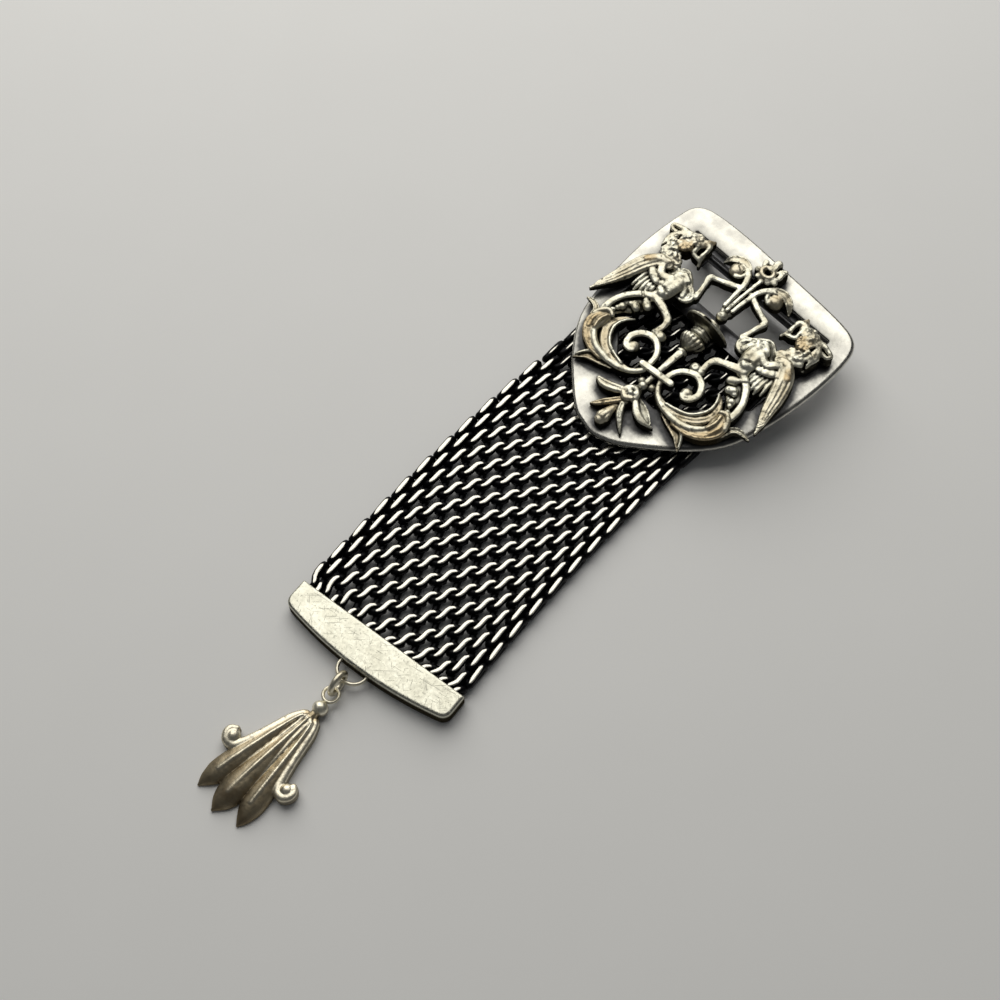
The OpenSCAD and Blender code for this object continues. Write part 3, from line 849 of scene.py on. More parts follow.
@dataclass(frozen=True)
class AntiqueMetal:
    """Antique metal: clean metal on raised places, a second tint, dark tarnish in hollow ones, and the same
    dark colour for painted shade where a piece marks it.
    """

    name: str
    clean: Colour
    worn: Colour
    gold: Colour
    tarnish_and_shade: Colour
    # Range of the hollow mark in which tarnish starts and is full
    hollow: Row
    roughness: float
    grain: Grain
    patina: float = 0.0
    pitting: float = 0.7
    wander: float = 0.12
    # Ranges of the edge mark, the facing mark and the specks' pattern in which patina fades out or in
    crevice: Row = (0.39, 0.52)
    flank: Row = (0.20, 0.58)
    specks: Row = (0.54, 0.72)
    # Edges that shine: range of the edge mark, share and gain
    shine: Row = (0.52, 0.75)
    shine_share: float = 0.6
    shine_gain: float = 1.12
    lightest: float = 0.96
    scratch_tone: float = 0.45
    dull: float = 0.25
    dull_tint: Colour = (0.15, 0.14, 0.12)
    # Patterns: features on a millimetre and finer layers
    broad_grain: Row = (0.35, 4)
    fine_grain: Row = (2.4, 4)
    speck_grain: Row = (1.5, 5)
    pin_grain: Row = (3.2, 1)
    # Ranges of those patterns, and how much they add
    tint: Row = (0.35, 0.68)
    satin: Row = (0.3, 0.7)
    smoother: float = 0.06
    rougher: float = 0.08
    crevice_wander: float = 0.1
    flank_wander: float = 0.25
    pins: Row = (0.63, 0.74)
    pin_share: float = 0.8
    # Scratches: turn in degrees and density along them
    scratch_rows: tuple[Row, ...] = ((17.0, 0.35), (-38.0, 0.45), (48.0, 0.3), (121.0, 0.5))
    scratch_fineness: float = 7.0
    scratch_range: Row = (0.70, 0.77)

    def darkness(self, kit: Layout, broad: bpy.types.NodeSocket,
                 fine: bpy.types.NodeSocket) -> bpy.types.NodeSocket:
        """Tells how dark the surface is, from its marks: tarnish and patina, and painted shade where a piece
        marks it.

        Args:
            kit: the material's layout.
            broad: wide pattern.
            fine: fine pattern.

        Returns:
            The share of the dark colour.
        """
        # The soot mark is painted shade on the plate and the bar's walls, and a darker tone on the drop
        layers = [kit.mark("soot")]
        if self.patina:
            crevice = kit.sum(kit.mark("edge"), kit.sum(fine, self.crevice_wander, "MULTIPLY"))
            side = kit.sum(kit.mark("facing"), kit.sum(fine, self.flank_wander, "MULTIPLY"))
            layers += [kit.ramp(crevice, *self.crevice, self.patina, 0.0),
                       kit.ramp(side, *self.flank, self.patina, 0.0),
                       kit.ramp(kit.noise(*self.speck_grain), *self.specks, 0.0, self.pitting)]
        dark = kit.ramp(kit.sum(kit.mark("hollow"), kit.drift(broad, self.wander)), *self.hollow)
        for layer in layers:
            dark = kit.sum(dark, layer, "MAXIMUM")
        return dark

    def material(self) -> bpy.types.Material:
        """Builds the material from the surface's marks and fine patterns.

        Returns:
            The new material.
        """
        kit = Layout(self.name)
        scratched, scratch_depth, bump_depth = self.grain.value
        broad, fine = kit.noise(*self.broad_grain), kit.noise(*self.fine_grain)
        dark = self.darkness(kit, broad, fine)
        base = kit.blend(kit.ramp(broad, *self.tint), self.clean, self.worn)
        base = kit.blend(kit.mark("gilt"), base, self.gold)
        bare = kit.sum(1.0, kit.mark("gilt"), "SUBTRACT")
        bright = kit.sum(kit.ramp(kit.mark("edge"), *self.shine, 0.0, self.shine_share), bare, "MULTIPLY")
        base = kit.blend(bright, base, tuple(min(self.lightest, c * self.shine_gain) for c in self.clean))
        relief = kit.bump(fine, bump_depth)
        if scratched:
            marks = self.scratches(kit)
            base = kit.blend(kit.sum(marks, scratched, "MULTIPLY"), base,
                             tuple(c * self.scratch_tone for c in self.clean))
            relief = kit.bump(marks, -scratch_depth, relief)
        rough = kit.ramp(fine, *self.satin, self.roughness - self.smoother, self.roughness + self.rougher)
        rough = kit.sum(rough, kit.sum(dark, self.dull, "MULTIPLY"))
        kit.feed(Base_Color=kit.blend(dark, base, self.tarnish_and_shade), Roughness=rough, Normal=relief,
                 Metallic=1.0, Specular_Tint=kit.blend(dark, WHITE, self.dull_tint))
        return kit.material

    def scratches(self, kit: Layout) -> bpy.types.NodeSocket:
        """Draws fine straight scratches in several directions, and pin marks.

        Args:
            kit: the material's layout.

        Returns:
            1 in a scratch, 0 beside it.
        """
        total = kit.ramp(kit.noise(*self.pin_grain), *self.pins, 0.0, self.pin_share)
        for turn, stretch in self.scratch_rows:
            lines = kit.noise(1.0, 1, (stretch, self.scratch_fineness, 1.0), turn)
            total = kit.sum(total, kit.ramp(lines, *self.scratch_range), "MAXIMUM")
        return total


@dataclass(frozen=True)
class BlackenedWire:
    """Blackened wire whose raised side is polished bright."""

    name: str = "blackened_wire"
    bright: Colour = (0.66, 0.64, 0.57)
    black: Colour = (0.012, 0.012, 0.013)
    fade: float = 0.15
    dull: float = 0.42
    polished: float = 0.26
    patches: Row = (0.8, 3)
    patch_share: float = 0.5
    fine_grain: Row = (5.0, 3)
    fine_depth: float = 0.008

    def material(self) -> bpy.types.Material:
        """Builds the material from the wire's mark of wear and painted shade.

        Returns:
            The new material.
        """
        kit = Layout(self.name)
        patch = kit.drift(kit.noise(*self.patches), self.patch_share)
        wear = kit.ramp(kit.sum(kit.mark("wear"), patch), -self.fade, self.fade)
        kit.feed(Base_Color=kit.blend(wear, self.black, self.bright), Metallic=1.0,
                 Roughness=kit.ramp(wear, 0.0, 1.0, self.dull, self.polished),
                 Normal=kit.bump(kit.noise(*self.fine_grain), self.fine_depth))
        return kit.material


# The plate's dark colour is used only for painted shade: its hollow mark is cleared and it has no patina
SILVER_PLATE = AntiqueMetal("shield_silver", (0.65, 0.635, 0.57), (0.43, 0.42, 0.385), (0.80, 0.70, 0.47),
                            (0.042, 0.043, 0.048), (0.80, 0.98), 0.20, Grain.SATIN)
CAST_SILVER = AntiqueMetal("crest_silver", (0.80, 0.79, 0.67), (0.50, 0.47, 0.36), (0.42, 0.31, 0.16),
                           (0.010, 0.009, 0.007), (0.56, 0.76), 0.38, Grain.CAST, patina=0.93)
# The bar's dark colour is used only for painted shade on its walls
BAR_SILVER = AntiqueMetal("bar_silver", (0.60, 0.59, 0.50), (0.47, 0.46, 0.38), (0.6, 0.5, 0.3),
                          (0.04, 0.031, 0.017), (0.80, 0.98), 0.28, Grain.SCRATCHED)
DROP_BRONZE = AntiqueMetal("drop_bronze", (0.72, 0.62, 0.43), (0.50, 0.40, 0.25), (0.95, 0.91, 0.76),
                           (0.045, 0.030, 0.019), (0.60, 0.76), 0.36, Grain.CAST, patina=0.6, pitting=0.4)
RING_BRASS = AntiqueMetal("ring_brass", (0.78, 0.74, 0.61), (0.62, 0.56, 0.42), (0.6, 0.5, 0.3),
                          (0.05, 0.04, 0.03), (2.0, 3.0), 0.34, Grain.CAST)
# A dark copy of the silver for the hanger and pin back: painted shade for parts that lie under the plate
SHADED_BACK_SILVER = AntiqueMetal("back_silver_shaded", (0.15, 0.15, 0.155), (0.11, 0.11, 0.115), (0.6, 0.5, 0.3),
                             (0.05, 0.05, 0.05), (2.0, 3.0), 0.42, Grain.SATIN)


@dataclass(frozen=True)
class Shield:
    """Shield plate with a softly rounded rim and a window behind the crest."""

    thickness: float = 1.2
    step: float = 0.17
    low: Row = (-18.2, -22.9)
    high: Row = (18.1, 17.3)
    margin: float = 0.6
    rim: float = 0.7
    window_edge: float = 0.25
    # Painted shade on the plate: its strength, how it fades down the plate's edge, and its share and reach
    # along the window's edge
    shade: float = 0.92
    shade_depth: float = 0.5
    shade_fade: float = 0.4
    brink_shade: float = 0.6
    brink_reach: float = 2.2
    # Outline, x and y: from the point up the right-hand side, then along the top and down the left
    right_rows: tuple[Row, ...] = (
        (-0.3, -22.3), (2.0, -21.9), (5.0, -20.3), (10.5, -15.6), (14.6, -10.4), (16.3, -5), (17.1, 0),
        (17.45, 4.5), (17.4, 8.5), (17.15, 11.2), (16.6, 13.3), (15.3, 14.8), (12.6, 15.6), (7, 16.1),
        (0, 16.45))
    left_rows: tuple[Row, ...] = (
        (-7, 16.75), (-12.4, 16.6), (-15.3, 16.0), (-16.9, 14.5), (-17.35, 12.0), (-17.6, 8.5), (-17.6, 4.5),
        (-17.2, 0), (-16.5, -5), (-14.8, -10.4), (-10.9, -15.6), (-5.5, -20.3), (-2.6, -21.9))
    window_half: float = 13.2
    window_top: float = 12.05
    window_side: float = -3.8
    window_foot: float = -13.2
    window_foot_half: float = 3.8

    def outline(self) -> Array:
        """Draws the shield's outline.

        Returns:
            Its points, smooth and closed.
        """
        ring = [*self.right_rows, *self.left_rows]
        steps = 4
        # The curve's first stretch and its last two repeat others, and only close it smoothly
        return flowing([ring[-1], *ring, ring[0], ring[1]], steps)[steps:-2 * steps - 1]

    def window(self) -> Array:
        """Gives the window's outline."""
        w, f = self.window_half, self.window_foot_half
        return np.array([(-w, self.window_top), (w, self.window_top), (w, self.window_side),
                         (f, self.window_foot), (-f, self.window_foot), (-w, self.window_side)])

    def covers(self, x: Array, y: Array) -> Array:
        """Tells where the plate is, as 0 or 1."""
        there = (outline_distance(x, y, self.outline()) < 0) & (outline_distance(x, y, self.window()) > 0)
        return there.astype(np.float32)

    def build(self, crest: "Crest") -> bpy.types.Object:
        """Makes the plate and paints shade on it beside the crest and along the window's edge.

        Args:
            crest: the relief that lies on the plate.

        Returns:
            The plate's object.
        """
        clay = Clay((*self.low, -self.thickness - self.margin), (*self.high, self.margin), self.step)
        clay.slab(outline_distance(*clay.plan(), self.outline()), -self.thickness, 0.0, self.rim)
        hole = outline_distance(*clay.plan(), self.window())
        clay.add(WHOLE, np.broadcast_to(hole[..., None], clay.depth.shape), self.window_edge, cut=True)
        skin = clay.skin()
        x, y, z = skin.points.T
        # Painted shade: the crest's painted shadow on the plate and a painted shade along the window's edge,
        # fading out down the plate's edge
        brink = np.clip(1 - outline_distance(x, y, self.window()) / self.brink_reach, 0, 1)
        near = np.maximum(crest.nearness(skin.points), self.brink_shade * brink)
        skin.marks["soot"] = near * np.clip((z + self.shade_depth) / self.shade_fade, 0, 1) * self.shade
        skin.marks["hollow"] *= 0.0
        plate = skin.piece("shield_plate_worn", SHIELD_PLACE)
        return fit(plate, SILVER_PLATE.material(), "shield_plate")


GRIFFIN = (
    # Raised foreleg
    Form(((0.9, 8.7, 0.5, 1.0, 1.6), (2.9, 7.7, 0.6, 0.95, 1.6), (4.4, 7.2, 0.6, 0.85, 1.5),
          (5.4, 6.6, 0.6, 1.05, 1.7), (5.15, 5.3, 0.6, 0.8, 1.5), (4.85, 3.9, 0.5, 0.85, 1.5),
          (4.75, 2.9, 0.4, 1.1, 1.6))),
    # Folded foreleg that arches over the breast, and its paw
    Form(((10.2, 3.2, 0.3, 0.9, 1.4), (9.5, 4.1, 0.4, 1.05, 1.7), (8.4, 4.8, 0.5, 1.1, 1.9),
          (7.3, 4.3, 0.5, 1.05, 1.9), (6.4, 3.5, 0.5, 0.95, 1.8), (5.5, 3.0, 0.5, 0.9, 1.7),
          (4.95, 2.2, 0.4, 0.9, 1.6), (5.3, 1.4, 0.4, 0.9, 1.5), (6.1, 1.1, 0.4, 0.75, 1.5)), LEAF, 0.05),
    Form(((7.2, 3.0, 0.2, 1.6, 1.8), (6.2, 2.3, 0.2, 1.8, 1.7), (5.7, 1.7, 0.2, 1.4, 1.7)), DISC, soft=0.2),
    Form(((7.2, 2.9, 0.4, 1.0, 2.1), (6.5, 2.4, 0.4, 1.05, 1.9), (6.1, 1.6, 0.4, 0.9, 1.7)), soft=0.1),
    knob(5.35, 2.5, 0.5, 1.75), knob(6.55, 1.3, 0.45, 1.5),
    Form(((7.0, 3.7, 0.5, 0.7, 2.1), (7.9, 4.1, 0.5, 0.8, 2.2), (8.8, 3.6, 0.4, 0.8, 2.2),
          (9.3, 3.0, 0.4, 0.8, 2.1)), soft=0.25),
    Form(((8.8, 4.2, 0.2, 1.6, 1.5), (9.8, 3.1, 0.2, 1.8, 1.4))),
    # Breast and belly
    Form(((8.0, 3.2, 0.1, 2.6, 2.4), (8.1, 2.1, 0.1, 3.0, 2.7), (8.1, 0.9, 0.1, 2.8, 2.6),
          (8.2, -0.1, 0.1, 2.4, 2.3), (8.6, -1.1, 0.1, 2.0, 2.1)), gilt=0.1),
    Form(((7.7, 2.9, 0.2, 1.3, 2.5), (7.6, 1.6, 0.2, 1.3, 2.7), (7.8, 0.4, 0.2, 1.1, 2.5)), KNOB, 0.1, 0.35),
    Form(((8.8, 2.9, 0.2, 1.2, 2.5), (8.7, 1.8, 0.2, 1.3, 2.7), (8.7, 0.9, 0.2, 1.2, 2.6)), KNOB, 0.1, 0.35),
    knob(8.3, -0.2, 0.9, 2.4), pit(8.2, 0.25, (1.1, 0.22), 2.5, 25),
    knob(9.4, 1.0, 0.65, 2.3), knob(9.0, 0.1, 0.6, 2.2),
    # Band from the breast to the shoulder of the wing
    Form(((9.0, 2.2, 0.3, 1.2, 2.6), (9.9, 1.8, 0.4, 1.2, 2.4), (10.6, 1.85, 0.4, 1.2, 2.4),
          (11.3, 2.6, 0.3, 1.25, 2.5), (11.9, 3.5, 0.2, 1.3, 2.4)), gilt=0.1, soft=0.1),
    # Wing: feathered blade with a golden shoulder, a scalloped row and a fan of small feathers
    Form(((11.0, 3.7, 0.2, 1.5, 2.3), (12.2, 3.6, 0.1, 2.1, 2.6), (13.2, 2.6, 0.1, 2.6, 2.6),
          (14.0, 1.1, 0.2, 2.7, 2.4), (14.7, -0.9, 0.3, 2.4, 2.0), (15.4, -3.3, 0.5, 1.8, 1.6),
          (16.1, -5.3, 0.7, 1.0, 1.2), (16.5, -6.8, 0.9, 0.3, 0.9)), BLADE, 0.25),
    Form(((11.4, 4.0, 0.8, 0.9, 1.9), (12.5, 3.7, 1.0, 1.1, 1.9), (13.4, 3.0, 1.0, 1.0, 1.8)), gilt=0.3,
         soft=0.2),
    Form(((13.3, 3.0, 1.0, 0.9, 1.85), (13.9, 2.2, 1.0, 1.0, 1.75)), gilt=1.0, soft=0.2),
    Form(((13.0, 1.7, 0.2, 0.6, 2.0), (13.5, 0.0, 0.2, 0.75, 1.8), (14.2, -2.1, 0.3, 0.7, 1.5),
          (15.0, -4.1, 0.5, 0.3, 1.1)), soft=0.04),
    Form(((10.3, 0.3, 0.1, 1.6, 1.1), (11.6, -0.6, 0.1, 3.0, 1.2), (12.8, 0.8, 0.1, 1.6, 1.1))),
    *(Form(((x, y, 0.2, 0.6, 1.8), (0.4 * x + 0.6 * u, 0.4 * y + 0.6 * v, 0.2, 0.7, 1.7),
            (u, v, 0.2, 0.4, 1.3)), KNOB, soft=0.06)
      for x, y, u, v in ((10.1, 0.2, 9.9, -1.4), (10.7, 0.1, 10.5, -2.0), (11.3, 0.1, 11.2, -2.4),
                         (11.9, 0.4, 12.0, -2.4), (12.5, 0.8, 12.8, -1.9), (12.9, 1.7, 13.3, -0.6))),
    Form(((9.7, 0.75, 0.4, 0.9, 2.0), (10.2, 0.6, 0.4, 1.15, 2.2), (10.9, 0.8, 0.4, 1.2, 2.2),
          (11.7, 1.15, 0.4, 1.2, 2.2), (12.3, 1.8, 0.4, 1.0, 2.1)), BEADED, soft=0.05),
    # Hind leg on its two-lobed foot
    Form(((8.7, -1.0, 0.3, 1.6, 2.0), (7.4, -1.5, 0.4, 1.35, 1.9), (6.0, -2.0, 0.5, 1.15, 1.7),
          (4.8, -2.6, 0.5, 1.2, 1.6), (4.4, -3.5, 0.5, 0.95, 1.5), (4.45, -4.6, 0.5, 0.95, 1.4)), gilt=0.1),
    knob(3.5, -5.3, 0.85, 1.8), knob(4.55, -5.2, 0.65, 1.6), pit(3.6, -5.2, (0.5, 0.25), 2.0, 60),
    # Tail: a smooth band with rounded lumps inside it
    Form(((8.6, -1.2, 0.2, 1.2, 2.0), (10.3, -2.2, 0.2, 1.1, 1.9), (11.7, -3.8, 0.2, 1.05, 1.9),
          (12.45, -5.5, 0.2, 1.05, 1.9), (12.6, -7.1, 0.2, 1.1, 1.9), (12.3, -8.7, 0.2, 1.3, 1.8))),
    pit(10.1, -2.3, (1.3, 0.22), 1.9, 42),
    Form(((8.8, -2.4, 0.1, 2.0, 1.3), (10.0, -3.9, 0.1, 2.6, 1.3), (11.2, -5.5, 0.1, 2.2, 1.3),
          (11.9, -7.4, 0.1, 1.4, 1.3))),
    Form(((8.3, -3.2, 0.2, 1.35, 1.9), (8.85, -2.85, 0.2, 1.4, 1.9)), KNOB, 0.0, 0.12), knob(9.2, -2.6, 0.45,
         1.8),
    Form(((9.3, -4.5, 0.2, 1.3, 2.0), (9.9, -4.15, 0.2, 1.35, 2.0)), KNOB, 0.0, 0.12), knob(10.35, -4.5, 0.45,
         1.8),
    knob(10.9, -5.65, 0.6, 1.9), knob(11.2, -6.3, 0.4, 1.8), knob(11.6, -7.0, 0.4, 1.6))

HEAD = (
    Form(((12.8, 8.7, 0.2, 2.2, 2.4), (11.4, 9.2, 0.3, 2.4, 2.4), (10.3, 9.6, 0.4, 1.7, 2.3)), gilt=0.3,
         soft=0.15),
    # Beak with the dark opening behind it, tuft and jaw
    Form(((9.8, 10.2, 0.5, 1.0, 2.2), (8.9, 10.0, 0.6, 0.85, 2.1), (8.75, 9.0, 0.6, 0.65, 1.9),
          (8.7, 8.1, 0.6, 0.75, 1.8), (8.2, 7.0, 0.5, 0.45, 1.2)), KNOB, 0.15),
    Form(((10.15, 9.9, 0.5, 0.7, 2.2), (10.1, 8.9, 0.5, 0.7, 2.2), (10.0, 7.9, 0.5, 0.8, 2.0),
          (9.3, 7.6, 0.5, 0.75, 1.8), (8.6, 7.5, 0.5, 0.6, 1.6)), KNOB),
    Form(((9.6, 10.2, 0.4, 1.5, 2.3), (9.4, 10.8, 0.4, 1.2, 2.1), (9.2, 11.5, 0.3, 0.45, 1.6)), KNOB, 0.7),
    # Ear that bends back on itself
    Form(((12.9, 9.6, 0.3, 1.2, 2.4), (14.1, 9.6, 0.3, 0.95, 2.4), (15.5, 9.2, 0.3, 0.65, 2.2),
          (15.3, 8.6, 0.3, 0.6, 2.1), (14.4, 8.6, 0.3, 0.7, 2.2), (13.6, 8.5, 0.3, 0.9, 2.4)), KNOB, 0.1),
    # Cheek boss with its beads
    Form(((11.7, 7.8, 0.3, 2.5, 2.6), (11.8, 7.8, 0.3, 2.5, 2.6)), DISC, 0.8),
    *(knob(11.75 + r * math.cos(a), 7.8 + r * math.sin(a), 0.28, 1.6, 0.8, 1.4)
      for r, n in ((0.0, 1), (0.5, 5), (0.95, 9)) for a in np.arange(n) * 2 * math.pi / n),
    pit(13.15, 8.0, (0.9, 0.28), 1.3, 78), pit(14.0, 5.6, (1.0, 0.28), 1.0, 110))

SCROLL = (
    # Inner blade of the leaf with its bright edge, then the ridges outside it
    Form(((3.0, -12.2, 0.3, 0.9, 1.4), (5.0, -12.6, 0.2, 1.1, 1.6), (7.2, -12.2, 0.2, 1.5, 1.6),
          (8.8, -11.2, 0.2, 1.9, 1.6), (9.9, -9.8, 0.2, 1.9, 1.6), (10.1, -8.3, 0.2, 1.5, 1.6),
          (9.5, -6.8, 0.2, 1.0, 1.4), (8.5, -5.7, 0.3, 0.3, 1.0)), GROOVED, 0.5, 0.12),
    Form(((4.5, -12.3, 0.5, 0.45, 1.5), (7.0, -11.7, 0.5, 0.5, 1.55), (8.4, -10.8, 0.5, 0.5, 1.6),
          (9.3, -9.4, 0.5, 0.5, 1.65), (9.5, -8.2, 0.5, 0.5, 1.6), (9.1, -6.8, 0.5, 0.4, 1.4),
          (8.5, -5.8, 0.4, 0.3, 1.1)), KNOB, 0.05, 0.15),
    Form(((1.3, -10.0, 0.4, 0.8, 1.4), (1.9, -11.2, 0.3, 0.85, 1.5), (3.1, -12.3, 0.2, 0.95, 1.6),
          (4.9, -13.0, 0.2, 1.0, 1.7), (7.2, -13.15, 0.2, 1.1, 1.8), (9.4, -12.7, 0.2, 1.1, 1.9),
          (10.8, -11.6, 0.2, 1.0, 2.0), (11.4, -10.5, 0.2, 0.8, 2.0)), KNOB, 0.1, 0.1),
    Form(((7.4, -13.6, 0.2, 0.9, 1.5), (9.6, -13.4, 0.2, 1.1, 1.7), (11.5, -12.4, 0.2, 1.3, 1.9),
          (12.6, -11.0, 0.2, 1.3, 2.0), (12.9, -9.7, 0.2, 1.1, 1.9)), GROOVED, 0.8, 0.12),
    pit(10.2, -11.35, (1.7, 0.26), 1.6, 42),
    # Tip of the leaf, which folds over
    Form(((11.9, -11.1, 0.2, 2.0, 1.9), (12.0, -9.7, 0.2, 2.7, 2.1), (11.7, -8.5, 0.2, 2.0, 2.0)), STRAP,
         0.55, 0.2),
    Form(((10.9, -7.9, 0.6, 0.7, 1.8), (11.7, -7.6, 0.6, 0.8, 1.9), (12.6, -8.3, 0.6, 0.8, 1.9),
          (13.1, -9.4, 0.6, 0.7, 1.7)), KNOB, 0.3, 0.12),
    Form(((11.4, -8.5, 0.6, 0.5, 1.85), (11.6, -9.8, 0.6, 0.55, 2.0), (11.3, -11.0, 0.6, 0.45, 1.8)), KNOB,
         0.7, 0.2),
    Form(((12.3, -9.0, 0.6, 0.5, 1.75), (12.5, -10.1, 0.6, 0.55, 1.85), (12.1, -11.4, 0.6, 0.45, 1.7)), KNOB,
         0.9, 0.2),
    # Small leaves outside the scroll
    Form(((12.9, -10.6, 0.2, 1.1, 1.5), (13.3, -9.4, 0.3, 0.95, 1.5), (13.8, -8.4, 0.4, 0.85, 1.4),
          (14.8, -7.9, 0.5, 0.8, 1.2), (16.2, -7.9, 0.5, 0.25, 0.9)), CUPPED, 0.3),
    Form(((5.4, -13.4, 0.1, 1.0, 1.4), (7.4, -13.9, 0.1, 1.4, 1.4), (9.0, -14.4, 0.2, 1.4, 1.3),
          (9.9, -15.2, 0.3, 1.0, 1.1), (10.5, -16.0, 0.3, 0.25, 0.8)), CUPPED, 0.6),
    Form(((5.2, -13.3, 0.4, 0.45, 1.3), (8.2, -13.5, 0.4, 0.5, 1.35), (9.5, -14.2, 0.4, 0.5, 1.2),
          (10.4, -15.6, 0.4, 0.3, 0.9)), KNOB, 0.1, 0.05),
    # Small curl beside the stem
    Form(((1.6, -9.7, 0.5, 0.9, 1.5), (1.9, -8.0, 0.5, 0.95, 1.5), (2.9, -6.7, 0.5, 1.0, 1.5),
          (4.4, -6.1, 0.5, 1.05, 1.5), (5.9, -6.7, 0.5, 1.1, 1.5), (6.7, -8.1, 0.5, 1.05, 1.5),
          (6.4, -9.4, 0.5, 1.0, 1.5), (5.6, -9.9, 0.5, 0.9, 1.5), (5.0, -9.6, 0.5, 0.8, 1.5)),
         CURL),
    knob(5.3, -9.0, 0.9, 1.65, 0.2, 0.4))

BUD = (
    Form(((0.75, 4.9, 0.4, 0.65, 1.6), (0.95, 7.5, 0.4, 0.75, 1.8), (1.15, 9.3, 0.4, 0.85, 1.8),
          (1.8, 10.7, 0.4, 0.95, 1.8), (2.6, 11.4, 0.3, 1.0, 1.7)), soft=0.06),
    Form(((1.9, 11.0, 0.4, 0.8, 1.8), (3.0, 11.9, 0.3, 1.15, 1.9), (4.3, 12.1, 0.2, 1.3, 1.9),
          (5.6, 11.5, 0.2, 1.1, 1.6), (6.4, 10.6, 0.2, 0.3, 0.9)), CUPPED, 0.25),
    knob(3.75, 10.5, 1.25, 1.85, 0.45, 0.3), pit(3.4, 10.9, (1.0, 0.3), 1.95, 25),
    Form(((2.3, 10.9, 0.4, 0.7, 1.6), (2.5, 10.0, 0.4, 0.7, 1.6), (3.2, 9.5, 0.4, 0.7, 1.5)), KNOB))

FLOWER = (
    Form(((0, 4.5, 0.4, 0.55, 1.6), (0, 8, 0.4, 0.6, 1.7), (0.05, 12.2, 0.2, 0.7, 1.7)), soft=0.06),
    Form(((0, 4.7, 0.3, 2.1, 1.3), (0, 5.6, 0.3, 2.1, 1.3))), Form(((0, 5.0, 0.2, 1.7, 1.1),
          (0, 9.2, 0.2, 2.1, 1.1))),
    knob(0.1, 3.45, 0.85, 1.7),
    Form(((-0.15, 12.6, 0.2, 2.9, 1.9), (-0.1, 13.5, 0.2, 2.9, 1.9)), gilt=0.3),
    *(Form(((x, y, 0.2, w, h), (u, v, 0.2, w, h - 0.1)), STRAP, 0.1, 0.05)
      for x, y, u, v, w, h in ((-0.1, 13.7, -0.05, 15.1, 1.35, 2.3), (0.7, 13.9, 1.55, 14.8, 0.9, 2.1),
                               (1.6, 14.3, 1.65, 13.2, 0.8, 2.2), (-1.1, 13.4, -1.6, 14.2, 0.95, 2.1),
                               (-1.2, 12.7, -1.75, 12.6, 0.9, 2.0), (-0.7, 12.0, -0.9, 11.7, 0.9, 2.1),
                               (0.7, 12.0, 0.9, 11.8, 0.95, 2.1), (1.2, 12.7, 1.7, 12.4, 0.9, 2.1))),
    Form(tuple((-0.15 + 0.95 * math.cos(a), 12.95 + 0.8 * math.sin(a), 0.4, 0.75, 2.05)
               for a in np.linspace(0, 2 * math.pi, 13)), KNOB, 0.35, 0.05),
    pit(-0.15, 12.95, (0.9, 0.62), 1.3), pit(-0.85, 14.2, (1.0, 0.25), 1.2, 60), pit(0.65, 14.5, (0.9, 0.22),
         1.2, 100))

HANGING = (
    Form(((-2.3, -10.15, 0.4, 1.05, 1.75), (2.75, -9.65, 0.4, 1.05, 1.75)), TIE),
    Form(((0.1, -10.0, 0.2, 0.85, 1.4), (0.1, -11.9, 0.2, 0.8, 1.4))), Form(((0.1, -12, 0, 1.0, 0.9),
          (0, -14.2, 0, 1.6, 1.2))),
    knob(0.2, -12.55, 0.68, 1.75), knob(-0.8, -11.7, 0.65, 0.9), knob(1.0, -11.6, 0.65, 0.9),
    # Cap of the hanging leaf
    Form(((-0.1, -14.0, 0.1, 2.2, 1.7), (-0.1, -15.2, 0.1, 2.4, 1.8), (0, -16.0, 0.1, 1.4, 1.6)), gilt=0.15),
    Form(((-1.2, -15.3, 0.1, 0.9, 1.9), (-0.9, -14.3, 0.1, 0.9, 2.1), (0, -13.7, 0.1, 0.8, 2.1),
          (0.8, -14.2, 0.1, 0.9, 2.1), (1.1, -15.1, 0.1, 0.9, 1.9)), KNOB, 0.1, 0.15),
    Form(((-0.9, -15.2, 0.1, 0.9, 2.1), (-0.1, -15.7, 0.1, 1.0, 2.2), (0.7, -15.2, 0.1, 0.8, 2.2)), KNOB,
         0.35, 0.15),
    knob(0.0, -14.7, 0.5, 2.15), knob(-0.5, -14.5, 0.4, 1.95), knob(0.5, -14.4, 0.4, 1.95),
    # Its drooping leaves
    Form(((-1.2, -15.0, 0.1, 1.2, 1.9), (-2.4, -15.6, 0.1, 1.5, 1.9), (-3.9, -16.1, 0.2, 1.5, 1.7),
          (-5.0, -16.1, 0.3, 0.95, 1.4)), LEAF, 0.15),
    Form(((1.2, -14.5, 0.1, 1.1, 1.3), (2.9, -15.2, 0.1, 1.8, 1.1), (4.6, -15.9, 0.1, 1.0, 0.9)), CUPPED),
    Form(((1.5, -15.2, 0.1, 0.9, 1.9), (2.8, -16.2, 0.1, 1.15, 1.9), (4.2, -16.5, 0.2, 1.0, 1.6),
          (5.7, -16.1, 0.3, 0.3, 1.0)), STRAP, 0.1, 0.04),
    Form(((-0.5, -16.3, 0.2, 1.0, 1.6), (-1.5, -17.6, 0.2, 1.1, 1.5), (-2.5, -18.8, 0.2, 0.9, 1.2),
          (-3.2, -19.4, 0.2, 0.3, 0.8)), LEAF, 0.6),
    Form(((0.3, -16.6, 0.2, 0.9, 1.6), (1.0, -17.8, 0.2, 1.1, 1.5), (2.1, -18.9, 0.2, 0.8, 1.2),
          (3.1, -19.7, 0.2, 0.3, 0.8)), LEAF, 0.1),
    Form(((-0.2, -17.2, 0.1, 0.8, 1.3), (-0.3, -18.6, 0.1, 1.5, 1.7), (-0.3, -19.8, 0.1, 2.2, 1.9),
          (-0.3, -20.3, 0.1, 1.7, 1.7)), KNOB, 0.4),
    pit(-0.75, -19.4, (1.5, 0.2), 1.75, 84), pit(0.15, -19.5, (1.3, 0.18), 1.75, 96))


